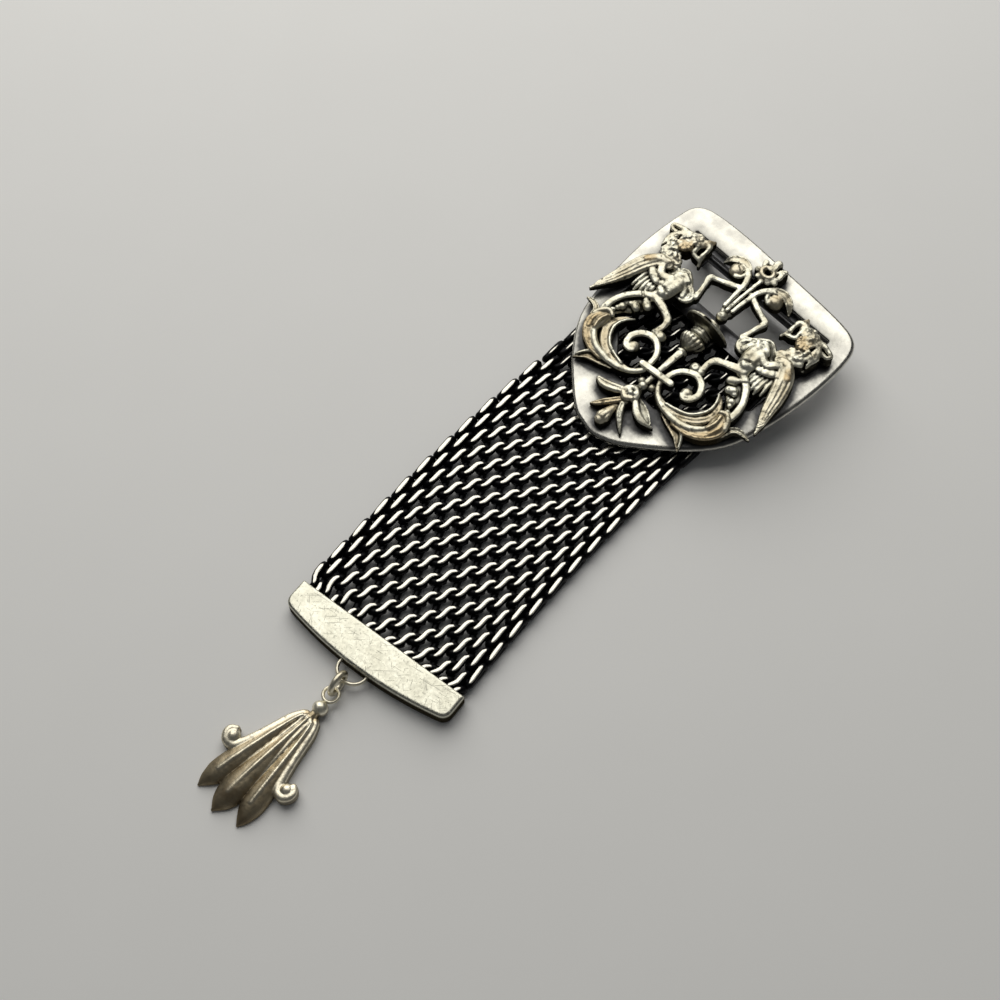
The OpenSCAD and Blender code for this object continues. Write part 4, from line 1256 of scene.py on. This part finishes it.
@dataclass
class Crest:
    """Openwork crest of two griffins beside an urn, with scrolls, leaves and a flowering stem."""

    step: float = 0.14
    low: Row = (-17.6, -21.4, -0.4)
    high: Row = (17.6, 16.2, 3.45)
    back: float = 0.05
    # Roughness of the heads and of the whole: pitch and depth
    coarse: Row = (0.5, 0.07)
    overall: Row = (0.7, 0.05)
    rough_seeds: tuple[int, int] = (5, 7)
    head_middle: float = 11.8
    head_half: float = 4.0
    head_rows: Row = (4.3, 11.8)
    head_heights: Row = (0.8, 3.4)
    # Neck and top of the head: x, y, base, width and height
    neck: tuple[Row, ...] = (
        (10.4, 4.5, 0.2, 1.4, 2.0), (11.5, 5.1, 0.1, 2.2, 2.3), (12.7, 5.9, 0.1, 3.1, 2.5),
        (13.1, 7.0, 0.1, 3.4, 2.6), (12.8, 8.1, 0.1, 3.0, 2.7), (12.1, 8.9, 0.2, 2.5, 2.7))
    crown: tuple[Row, ...] = ((11.2, 9.4, 0.2, 2.2, 2.6), (10.3, 9.7, 0.3, 1.6, 2.5))
    neck_soft: float = 0.12
    neck_gilt: float = 0.12
    # Lanes of locks across the neck, as a range: first, limit and step in halves of its width
    lanes: Row = (-0.85, 0.9, 0.42)
    lock: Row = (0.42, 0.28, 0.32)
    lock_soft: float = 0.15
    lock_sink: float = 0.22
    lock_scatter: float = 0.1
    lock_lift: Row = (-0.05, 0.25)
    lock_twist: Row = (-60, 60)
    lock_gilt: Row = (0.0, 0.5)
    lock_seed: int = 23
    neck_round: float = 0.3
    urn_x: float = -0.4
    urn_rise: float = 0.85
    urn_low: Row = (-4.8, -5.6, -0.4)
    urn_high: Row = (4.8, 3.1, 3.4)
    urn_flutes: float = 8.5
    flute_depth: float = 0.24
    # Where the flutes start and end, each with its fade
    flutes_from: Row = (-3.4, 0.4)
    flutes_to: Row = (-1.4, 0.2)
    urn_soft: float = 0.06
    urn_gilt: float = 0.1
    urn_level: float = 0.2
    urn_shrink: float = 0.8
    least_rise: float = 1e-6
    # The urn's outline: radius and height, closed along its axis
    urn: tuple[Row, ...] = (
        (0, 2.6), (0.9, 2.5), (1.15, 2.2), (1.0, 1.9), (1.7, 1.45), (3.8, 1.0), (4.0, 0.75), (3.8, 0.5),
        (2.0, 0.1), (1.6, -0.15), (1.8, -0.4), (1.5, -0.6), (1.75, -0.85), (1.4, -1.1), (1.6, -1.35),
        (2.1, -1.7), (2.15, -2.3), (1.6, -3.1), (0.9, -3.6), (0.45, -3.85), (0.9, -4.1), (0.9, -4.55),
        (0.4, -4.8), (0, -4.9), (-1, -4.9), (-1, 2.6))
    stem: Form = Form(((0.1, -5.2, 0.4, 1.15, 1.5), (0.1, -7.2, 0.4, 1.05, 1.5), (0.1, -9.9, 0.4, 0.8, 1.4)))
    foot_heights: Row = (0.1, 1.0)
    # Painted shadow of the crest on the plate: its shift along the light, the two reaches it is blurred over,
    # its gain and where it starts
    shadow: Row = (0.45, -0.4)
    shadow_reaches: Row = (0.8, 2.2)
    shadow_gain: float = 3.3
    shadow_from: float = 0.12
    footprint: Array | None = None

    def mane(self, clay: Clay, s: int) -> None:
        """Covers the neck and the crown of the head with short locks, each a little different.

        Args:
            clay: the solid that they are worked into.
            s: 1 for the right-hand side, -1 for the left.
        """
        clay.work((Form(self.neck, DISC, self.neck_gilt, self.neck_soft),), s)
        rng = np.random.default_rng(self.lock_seed + s)
        line = flowing([*self.neck, *self.crown], 3)
        for here, there in zip(line[:-1], line[1:]):
            ahead = (there[:2] - here[:2]) / np.linalg.norm(there[:2] - here[:2])
            side = np.array((ahead[1], -ahead[0]))
            for lane in np.arange(*self.lanes):
                at = here[:2] + side * lane * here[3] * 0.5 + rng.normal(0, self.lock_scatter, 2)
                fall = self.neck_round * here[3] * (1 - math.sqrt(1 - lane * lane))
                top = here[2] + here[4] - fall + rng.uniform(*self.lock_lift)
                turn = math.degrees(math.atan2(ahead[1], ahead[0])) + rng.uniform(*self.lock_twist)
                clay.ball((s * at[0], at[1], top - self.lock_sink), self.lock, soft=self.lock_soft,
                          turn=s * turn, gilt=rng.uniform(*self.lock_gilt))

    def turned(self, clay: Clay) -> None:
        """Works up the fluted urn, which is turned and flattened, and its tall stem.

        Args:
            clay: the solid that they are worked into.
        """
        part = clay.window(self.urn_low, self.urn_high)
        x, y, z = clay.corners(part)
        x, rise = x - self.urn_x, (z - self.urn_level) / self.urn_rise
        out = np.sqrt(x * x + rise * rise)
        angle = np.arctan2(x, np.maximum(rise, self.least_rise))
        foot, brim = self.flutes_from, self.flutes_to
        bowl = np.clip((y - foot[0]) / foot[1], 0, 1) * np.clip((brim[0] - y) / brim[1], 0, 1)
        out = out + self.flute_depth * bowl * (1 - np.abs(np.sin(self.urn_flutes * angle))) ** 2
        out, level = np.broadcast_arrays(out, y)
        # The distance is to the round urn, so it is made shorter for the flattened one
        form = self.urn_shrink * outline_distance(out, level, np.array(self.urn))
        clay.add(part, form, self.urn_soft, self.urn_gilt)
        clay.work((self.stem,))

    def nearness(self, points: Array) -> Array:
        """Gives the crest's painted shadow on points of the plate: the blurred outline of its foot, shifted
        along the light.

        Args:
            points: points in the shield's frame.

        Returns:
            1 under or beside the relief, falling to 0 away from it.
        """
        at = (points[:, :2] - np.array(self.shadow) - np.array(self.low[:2])) / self.step
        at = np.clip(np.round(at).astype(int), 0, np.array(self.footprint.shape) - 1)
        return np.clip(self.footprint[at[:, 0], at[:, 1]] * self.shadow_gain - self.shadow_from, 0, 1)

    def side(self, upper: Clay, lower: Clay, s: int) -> None:
        """Works up one side's griffin, bud and scroll.

        Args:
            upper: the solid of the griffins and the bud.
            lower: the solid of the scrolls.
            s: 1 for the right-hand side, -1 for the left.
        """
        upper.work(GRIFFIN, s)
        self.mane(upper, s)
        upper.work(HEAD, s)
        upper.work(BUD, s)
        middle = self.head_middle * s
        low, high = zip((middle - self.head_half, middle + self.head_half), self.head_rows, self.head_heights)
        upper.rumple(low, high, *self.coarse, self.rough_seeds[1] + s)
        lower.work(SCROLL, s)

    def build(self, shield: Shield) -> None:
        """Works up the whole crest in two volumes and makes them into objects.

        Args:
            shield: the plate that it lies on.
        """
        upper, lower = (Clay(self.low, self.high, self.step) for _ in range(2))
        for s in (-1, 1):
            self.side(upper, lower, s)
        upper.work(FLOWER)
        self.turned(lower)
        lower.work(HANGING)
        both = np.minimum(upper.depth, lower.depth)
        foot = upper.window(*((0, 0, height) for height in self.foot_heights))[2]
        sheet = np.repeat((both[:, :, foot] < 0).any(axis=2).astype(np.float32)[..., None], 3, axis=2)
        self.footprint = 0.5 * sum(upper.blurred(sheet, reach) for reach in self.shadow_reaches)[:, :, 1]
        ground = shield.covers(*upper.plan())
        finish = CAST_SILVER.material()
        parts = ((upper, "crest_griffins", UPPER_PLACE), (lower, "crest_scrolls", LOWER_PLACE))
        for clay, name, place in parts:
            clay.rumple(self.low, self.high, *self.overall, self.rough_seeds[0])
            clay.flat_back(self.back)
            fit(clay.skin(ground).piece(name, place), finish, "griffin_crest")


@dataclass(frozen=True)
class Ribbon:
    """Woven ribbon of interlocked flattened coils of wire."""

    half: float = 13.1
    spread: float = 1.12
    row_pitch: float = 2.08
    first_row: float = -65.9
    last_row: float = 3.0
    index_step: float = 0.23
    edge_index: float = 0.985
    last_index: float = 1.02
    calm_index: float = 0.97
    reach: float = 1.72
    depth: float = 0.46
    wire: float = 0.49
    worn: float = 0.105
    bend_power: float = 0.8
    side_power: float = 0.5
    # Direction of the wire's flat side, along and up
    tuck: Row = (-0.9, 1.5)
    least_side: float = 1e-3
    quarter: float = 0.25
    lean: float = 0.55
    hook: float = 0.05
    trail: float = 0.25
    upright: float = 0.04
    # Painted shade under the plate: how much it dims the polished tops, where it starts and the length of its
    # fade
    under_plate_shade: float = 0.75
    under_plate_from: float = -19.5
    under_plate_fade: float = 3.0
    samples: int = 22
    sides: int = 12
    thickness: float = 1.82
    stub: float = 0.38
    top_x: float = -1.05
    sweep: float = 5.55
    sweep_from: float = -18.0
    sweep_length: float = 45.3
    sweep_power: float = 1.47
    clearance: float = 0.05
    plate_depth: float = 2.55
    half_band: float = 0.9
    curve: float = 2.0
    end_lift: float = 0.35
    end_length: float = 5.0
    grip: float = 0.055
    grip_length: float = 1.5
    clamp: float = 1.2

    def centre(self, y: Array) -> Array:
        """Gives the ribbon's sideways place along its length."""
        along = np.maximum(0, (self.sweep_from - y) / self.sweep_length)
        return self.top_x + self.sweep * along ** self.sweep_power

    def rest(self, y: Array) -> Array:
        """Gives the height of the ribbon's underside: flat, then rising behind the tilted plate.

        Args:
            y: places along the ribbon.

        Returns:
            The heights.
        """
        tilt = math.radians(SHIELD_PLACE.tilt)
        slot = SHIELD_PLACE.shift[2] - self.plate_depth / math.cos(tilt)
        x = y - (self.clearance + self.half_band - slot) / math.tan(tilt) + self.curve / 2
        rise = np.where(x <= 0, 0, np.where(x >= self.curve, x - self.curve / 2, x * x / (2 * self.curve)))
        end = ease(1 - (y - BAR_PLACE.shift[1]) / self.end_length)
        return self.clearance + rise * math.tan(tilt) + self.end_lift * end

    def across(self, u: Array) -> Array:
        """Turns a coil index from -1 to 1 into a place across the ribbon: coils are tighter at its edges."""
        return self.half * (self.spread * u - (self.spread - 1) * u ** 3)

    def pinch(self, y: Array) -> Array:
        """Gives how much narrower the ribbon is where its ends are gripped."""
        foot = ease(1 - (y - BAR_PLACE.shift[1]) / self.grip_length)
        return 1 - self.grip * (foot + ease(1 - (self.clamp - y) / self.grip_length))

    def coil(self, row: int) -> Skin:
        """Winds one row of wire, with its ends tucked behind the ribbon's edges.

        Args:
            row: its number from the lower end.

        Returns:
            The wire's surface with its wear.
        """
        y0 = self.first_row + row * self.row_pitch
        start = -self.edge_index + 0.5 * self.index_step * (row % 2)
        strands = int((self.edge_index - start) / self.index_step) + 1
        ends = (-self.stub, strands - 0.5 + self.stub)
        t = np.linspace(*ends, int((ends[1] - ends[0]) * self.samples) + 1)
        whole = np.clip(t, 0, strands - 0.5)
        strand = start + self.index_step * np.floor(whole + self.quarter)
        inner = np.clip(1 - np.abs(strand / self.calm_index) ** 3, 0, 1)
        lean = self.lean * inner
        drift = (lean - 0.5) * self.index_step * (1 - np.cos(2 * np.pi * whole)) / 2
        c, s = np.cos(2 * np.pi * t), np.sin(2 * np.pi * t)
        u = start - 0.5 * lean * self.index_step + self.index_step * whole + drift
        hook = np.where(c < 0, self.hook, self.hook * self.trail)
        u = u + inner * (self.upright * (c - c ** 3) - hook * c ** 3)
        along = -self.reach * powered(c, self.bend_power)
        x = self.across(np.clip(u, -self.last_index, self.last_index)) * self.pinch(y0 + along)
        tilt = math.atan(float(self.centre(np.array(y0 + 0.5)) - self.centre(np.array(y0 - 0.5))))
        px = self.centre(np.array(y0)) + x * math.cos(tilt) + along * math.sin(tilt)
        py = y0 + along * math.cos(tilt) - x * math.sin(tilt)
        middle = self.rest(py) + self.thickness / 2
        side = powered(s, self.side_power)
        path = np.column_stack((px, py, middle + self.depth * side))
        outward = np.column_stack((0 * c, self.tuck[0] * c, self.tuck[1] * side + self.least_side))
        return self.ground_down(tube(path, outward, round_profile(self.wire, self.sides)), middle)

    def ground_down(self, skin: Skin, middle: Array) -> Skin:
        """Flattens the tops of a row of wire, marks them as worn, and paints shade on them under the plate.

        Args:
            skin: the row's surface.
            middle: height of the ribbon's middle for each turn of the wire's profile.

        Returns:
            The same surface, worn.
        """
        top = np.repeat(middle + self.depth + self.wire - self.worn, self.sides)
        round_part = skin.points[:len(top)]
        over = round_part[:, 2] - top
        round_part[:, 2] -= np.maximum(over, 0)
        # Painted shade: the polished tops are dimmed towards and under the plate
        shaded = self.under_plate_shade * np.clip((round_part[:, 1] - self.under_plate_from) / self.under_plate_fade, 0, 1)
        skin.marks["wear"] = np.concatenate([np.clip(over / self.worn - shaded, -1, 1), [-1, -1]])
        return skin

    def build(self) -> bpy.types.Object:
        """Winds every row and joins them into one ribbon.

        Returns:
            The ribbon's object.
        """
        rows = int((self.last_row - self.first_row) / self.row_pitch)
        skin = self.coil(1)
        for row in range(2, rows):
            skin = skin.join(self.coil(row))
        return fit(skin.piece("woven_ribbon", RIBBON_PLACE), BlackenedWire().material(), "mesh_band")


@dataclass(frozen=True)
class Hoop:
    """Closed ring of round wire, lying flat or standing upright."""

    middle: Row
    spread: Row
    wire: float
    upright: bool = False
    steps: int = 72
    sides: int = 20

    def build(self, name: str, place: Place, node: str, slot: str) -> bpy.types.Object:
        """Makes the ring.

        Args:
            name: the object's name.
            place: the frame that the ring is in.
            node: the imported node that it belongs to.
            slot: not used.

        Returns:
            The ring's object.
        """
        a = np.linspace(0, 2 * np.pi, self.steps + 1)[:-1]
        u, v, flat = self.spread[0] * np.cos(a), self.spread[1] * np.sin(a), 0 * a
        path = np.column_stack((flat, u, v) if self.upright else (u, v, flat)) + np.array(self.middle)
        side = np.tile((1.0, 0.0, 0.0) if self.upright else (0.0, 0.0, 1.0), (len(a), 1))
        ring = tube(path, side, round_profile(self.wire / 2, self.sides), closed=True).piece(name, place)
        return fit(ring, RING_BRASS.material(), node)


@dataclass(frozen=True)
class EndBar:
    """Folded bar on the ribbon's lower end, with its soldered wire loop."""

    length: float = 27.1
    width: float = 5.45
    end_width: float = 3.9
    thickness: float = 2.6
    corner: float = 1.4
    corner_steps: int = 7
    bow_steps: int = 15
    edge: float = 0.42
    slot_depth: float = 3.4
    slot_end: float = 0.6
    slot_edge: float = 0.12
    sheet: float = 0.34
    loop_u: float = -0.45
    loop_spread: Row = (2.13, 1.9)
    loop_z: float = 1.5
    loop_wire: float = 0.5
    loop_reach: float = 0.2
    # Painted shade on the bar's walls: its strength, the height where it ends, and the width of its fade
    wall_shade: float = 0.92
    wall_top: float = 2.25
    wall_fade: float = 0.35
    crisp: float = 50.0
    low: Row = (-14.0, -6.0, -0.4)
    high: Row = (14.0, 0.5, 3.0)
    step: float = 0.15

    def outline(self) -> Array:
        """Draws the bar's outline: straight above, bowed below, with round lower corners.

        Returns:
            Its points in order.
        """
        sag = self.width - self.end_width
        bow = ((self.length / 2) ** 2 + sag * sag) / (2 * sag)
        cx = self.length / 2 - self.corner
        turn = math.asin(cx / (bow - self.corner))
        cy = bow - self.width - (bow - self.corner) * math.cos(turn)
        a = np.linspace(0, math.pi / 2 - turn, self.corner_steps)
        right = np.column_stack((cx + self.corner * np.cos(a), cy - self.corner * np.sin(a)))
        b = np.linspace(turn, -turn, self.bow_steps)[1:-1]
        foot = np.column_stack((bow * np.sin(b), bow - self.width - bow * np.cos(b)))
        top = np.array([(-self.length / 2, 0.0), (self.length / 2, 0.0)])
        return np.vstack([right, foot, right[::-1] * (-1, 1), top])

    def build(self) -> bpy.types.Object:
        """Makes the bar with its slot and loop.

        Returns:
            The bar's object.
        """
        clay = Clay(self.low, self.high, self.step)
        clay.slab(outline_distance(*clay.plan(), self.outline()), 0.0, self.thickness, self.edge)
        x, y, z = clay.corners()
        middle = self.thickness / 2
        slot = np.maximum(np.maximum(np.abs(x) - self.length / 2 + self.slot_end, -self.slot_depth - y),
                          np.abs(z - middle) - (middle - self.sheet))
        clay.add(WHOLE, slot, self.slot_edge, cut=True)
        skin = clay.skin()
        # Painted shade darkens the walls below the bar's face
        down = np.clip((self.wall_top - skin.points[:, 2]) / self.wall_fade, 0, 1)
        skin.marks["soot"] = self.wall_shade * down
        skin.marks["hollow"] *= 0
        bar = fit(skin.piece("end_bar_worn", BAR_PLACE, self.crisp), BAR_SILVER.material(), "end_bar")
        at = (self.loop_u, -self.width - self.loop_reach, self.loop_z)
        Hoop(at, self.loop_spread, self.loop_wire).build("bar_loop", BAR_PLACE, "end_bar", "bar")
        return bar


LOBE = (
    Form(((0, -1.3, 0.0, 1.2, 1.6), (0, -4, 0.0, 1.9, 1.8), (0, -8, 0.0, 2.6, 2.0), (0, -12.0, 0.0, 3.4, 2.1),
          (0, -14.6, 0.0, 3.8, 2.0), (0, -16.6, 0.0, 2.8, 1.4), (0, -18.1, 0.0, 0.4, 0.5)), KEEL, soft=0.06),
    Form(((0, -2, 0.9, 0.3, 1.0), (0, -8, 0.9, 0.34, 1.25), (0, -12.0, 0.9, 0.34, 1.35),
          (0, -15.2, 0.9, 0.3, 1.0)), KNOB, 0.8, 0.3))

FLANK = (
    # Outer lobe and the curled strand outside it
    Form(((0.8, -1.7, 0.0, 1.1, 1.5), (1.35, -4, 0.0, 1.7, 1.7), (2.1, -8, 0.0, 2.4, 1.9),
          (2.8, -12.0, 0.0, 3.1, 1.9), (3.2, -14.4, 0.0, 3.1, 1.7), (3.55, -16.1, 0.0, 1.9, 1.1),
          (3.7, -17.2, 0.0, 0.4, 0.4)), KEEL, 0.0, 0.06),
    Form(((1.1, -1.9, 0.0, 1.1, 1.5), (1.85, -3.5, 0.0, 1.15, 1.6), (2.6, -6.5, 0.0, 1.2, 1.7),
          (3.35, -9.0, 0.0, 1.25, 1.7), (4.1, -10.7, 0.0, 1.4, 1.7), (5.2, -11.1, 0.1, 1.3, 1.8),
          (5.95, -10.5, 0.2, 1.1, 1.8), (6.0, -9.7, 0.3, 0.9, 1.7), (5.4, -9.2, 0.3, 0.8, 1.6)), KNOB, 0.7),
    # Ridges between the lobes, and the bright line along the outer one
    Form(((0.45, -2.0, 0.2, 0.5, 1.6), (0.75, -6, 0.2, 0.5, 1.6), (1.15, -10, 0.2, 0.45, 1.4),
          (1.45, -13.0, 0.2, 0.35, 1.1)), KNOB, 0.6, 0.04),
    Form(((1.05, -2.6, 0.2, 0.45, 1.5), (1.7, -6, 0.2, 0.45, 1.5), (2.5, -9.8, 0.2, 0.45, 1.35),
          (3.3, -11.8, 0.2, 0.35, 0.9)), KNOB, 0.6, 0.04),
    Form(((0.85, -2.2, 0.9, 0.3, 1.0), (1.35, -4, 0.9, 0.32, 1.0), (2.1, -8, 0.9, 0.34, 1.15),
          (2.75, -12.0, 0.9, 0.36, 1.15), (3.1, -14.2, 0.8, 0.3, 1.0)), KNOB, 0.8, 0.3))


@dataclass(frozen=True)
class Palmette:
    """Fluted palmette drop with its bead and wire eye."""

    step: float = 0.11
    low: Row = (-7.2, -18.6, -0.4)
    high: Row = (7.2, 1.6, 2.9)
    back: float = 0.05
    bead: float = 2.2
    bead_squash: float = 0.08
    bead_gilt: float = 0.9
    bead_soft: float = 0.05
    curl: Row = (5.1, -10.1, 1.2)
    curl_radius: float = 0.95
    curl_gilt: float = 0.7
    curl_soft: float = 0.15
    shoulder_soft: float = 0.1
    neck: tuple[Row, ...] = ((0, -0.4, 0.3, 0.9, 1.5), (0, -1.5, 0.2, 1.1, 1.5))
    shoulder: tuple[Row, ...] = ((-0.9, -2.3, 0.1, 1.2, 1.1), (0.9, -2.3, 0.1, 1.2, 1.1))
    rough_low: Row = (-7, -19, 0)
    rough_high: Row = (7, 2, 3)
    rough: Row = (0.8, 0.03)
    rough_seed: int = 3
    eye: Row = (-0.36, 2.2, 1.3)
    eye_r: float = 1.05
    eye_wire: float = 0.46
    browning: float = 0.62
    brown_from: float = -7.0
    brown_fade: float = 9.0

    def build(self) -> bpy.types.Object:
        """Makes the drop.

        Returns:
            The drop's object.
        """
        clay = Clay(self.low, self.high, self.step)
        clay.work(LOBE)
        for s in (-1, 1):
            clay.work(FLANK, s)
            at = (s * self.curl[0], *self.curl[1:])
            clay.ball(at, (self.curl_radius,) * 3, soft=self.curl_soft, gilt=self.curl_gilt)
        clay.strand(self.neck)
        clay.strand(self.shoulder, soft=self.shoulder_soft)
        r = self.bead / 2
        radii = (r, r - self.bead_squash, r)
        clay.ball((0, 0, r + self.back), radii, soft=self.bead_soft, gilt=self.bead_gilt)
        clay.rumple(self.rough_low, self.rough_high, *self.rough, self.rough_seed)
        clay.flat_back(self.back)
        skin = clay.skin()
        low = np.clip((self.brown_from - skin.points[:, 1]) / self.brown_fade, 0, 1)
        skin.marks["soot"] = self.browning * low * (1 - skin.marks["gilt"])
        drop = skin.piece("palmette_drop_worn", DROP_PLACE)
        fit(drop, DROP_BRONZE.material(), "palmette_drop")
        eye = Hoop(self.eye, (self.eye_r, self.eye_r), self.eye_wire)
        eye.build("drop_eye", DROP_PLACE, "palmette_drop", "drop")
        return drop


JUMP_RING = Hoop((0.0, 0.0, 1.98), (1.5, 1.5), 0.85, upright=True)


@dataclass(frozen=True)
class Studio:
    """Pale floor, soft light and the camera at the photograph's angle."""

    target: Row = (-1.767, 0.94, 0.0)
    camera_from: Row = (67.97, -59.93, 170.43)
    lens: float = 50.0
    near_clip: float = 0.01
    lamp_from: Row = (-235.0, 160.0, 320.0)
    lamp_size: float = 560.0
    lamp_power: float = 1.85
    lamp_colour: Colour = (1.0, 0.98, 0.93)
    sky: Colour = (0.86, 0.88, 0.9)
    sky_strength: float = 0.1
    floor_size: float = 1200.0
    floor_drop: float = 0.01
    floor_dark: Colour = (0.87, 0.87, 0.86)
    floor_light: Colour = (0.90, 0.90, 0.89)
    floor_grain: Row = (0.05, 4)
    floor_roughness: float = 0.7

    def aimed(self, name: str, data: bpy.types.ID, offset: Row) -> bpy.types.Object:
        """Adds a lamp or camera that faces the brooch.

        Args:
            name: its name.
            data: what it is.
            offset: its place from the target, in millimetres.

        Returns:
            The new object.
        """
        thing = bpy.data.objects.new(name, data)
        thing.location = (Vector(self.target) + Vector(offset)) * MM
        thing.rotation_euler = (-Vector(offset)).to_track_quat("-Z", "Y").to_euler()
        bpy.context.scene.collection.objects.link(thing)
        return thing

    def build(self) -> None:
        """Sets up the camera, the light, the world and the floor."""
        lens = bpy.data.cameras.new("camera")
        lens.lens, lens.clip_start = self.lens, self.near_clip
        bpy.context.scene.camera = self.aimed("camera", lens, self.camera_from)
        lamp = bpy.data.lights.new("window_light", "AREA")
        lamp.energy, lamp.size, lamp.color = self.lamp_power, self.lamp_size * MM, self.lamp_colour
        self.aimed("window_light", lamp, self.lamp_from)
        world = bpy.data.worlds.new("studio")
        world.use_nodes = True
        sky = world.node_tree.nodes["Background"].inputs
        sky["Color"].default_value = (*self.sky, 1)
        sky["Strength"].default_value = self.sky_strength
        bpy.context.scene.world = world
        bpy.context.scene.view_settings.view_transform = "Standard"
        self.floor()

    def floor(self) -> None:
        """Lays the pale floor just under the brooch."""
        h = self.floor_size / 2
        corners = np.array([(-h, -h, 0), (h, -h, 0), (h, h, 0), (-h, h, 0)], float)
        floor = Skin(corners, [np.array([[0, 1, 2, 3]])]).piece("floor", Place((*MIDDLE, -self.floor_drop)))
        kit = Layout("pale_floor")
        colour = kit.blend(kit.noise(*self.floor_grain), self.floor_dark, self.floor_light)
        kit.feed(Base_Color=colour, Roughness=self.floor_roughness)
        floor.data.materials.append(kit.material)


def dress_node(node: str, finish: AntiqueMetal) -> None:
    """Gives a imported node, whose shape is right, its own finish.

    Args:
        node: the node's name.
        finish: the finish.
    """
    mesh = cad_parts[node].data
    mesh.materials.clear()
    mesh.materials.append(finish.material())
    log.info("%s: packed mesh in its own finish", node)


def main() -> None:
    """Builds the scene piece by piece."""
    Studio().build()
    shield = Shield()
    crest = Crest()
    crest.build(shield)
    shield.build(crest)
    Ribbon().build()
    EndBar().build()
    Palmette().build()
    JUMP_RING.build("jump_ring_worn", RING_PLACE, "jump_ring", "ring")
    # The hanger and the pin back take the dark silver that paints the shade under the plate
    dress_node("mesh_hanger", SHADED_BACK_SILVER)
    dress_node("pin_back", SHADED_BACK_SILVER)


if __name__ == "__main__":
    main()
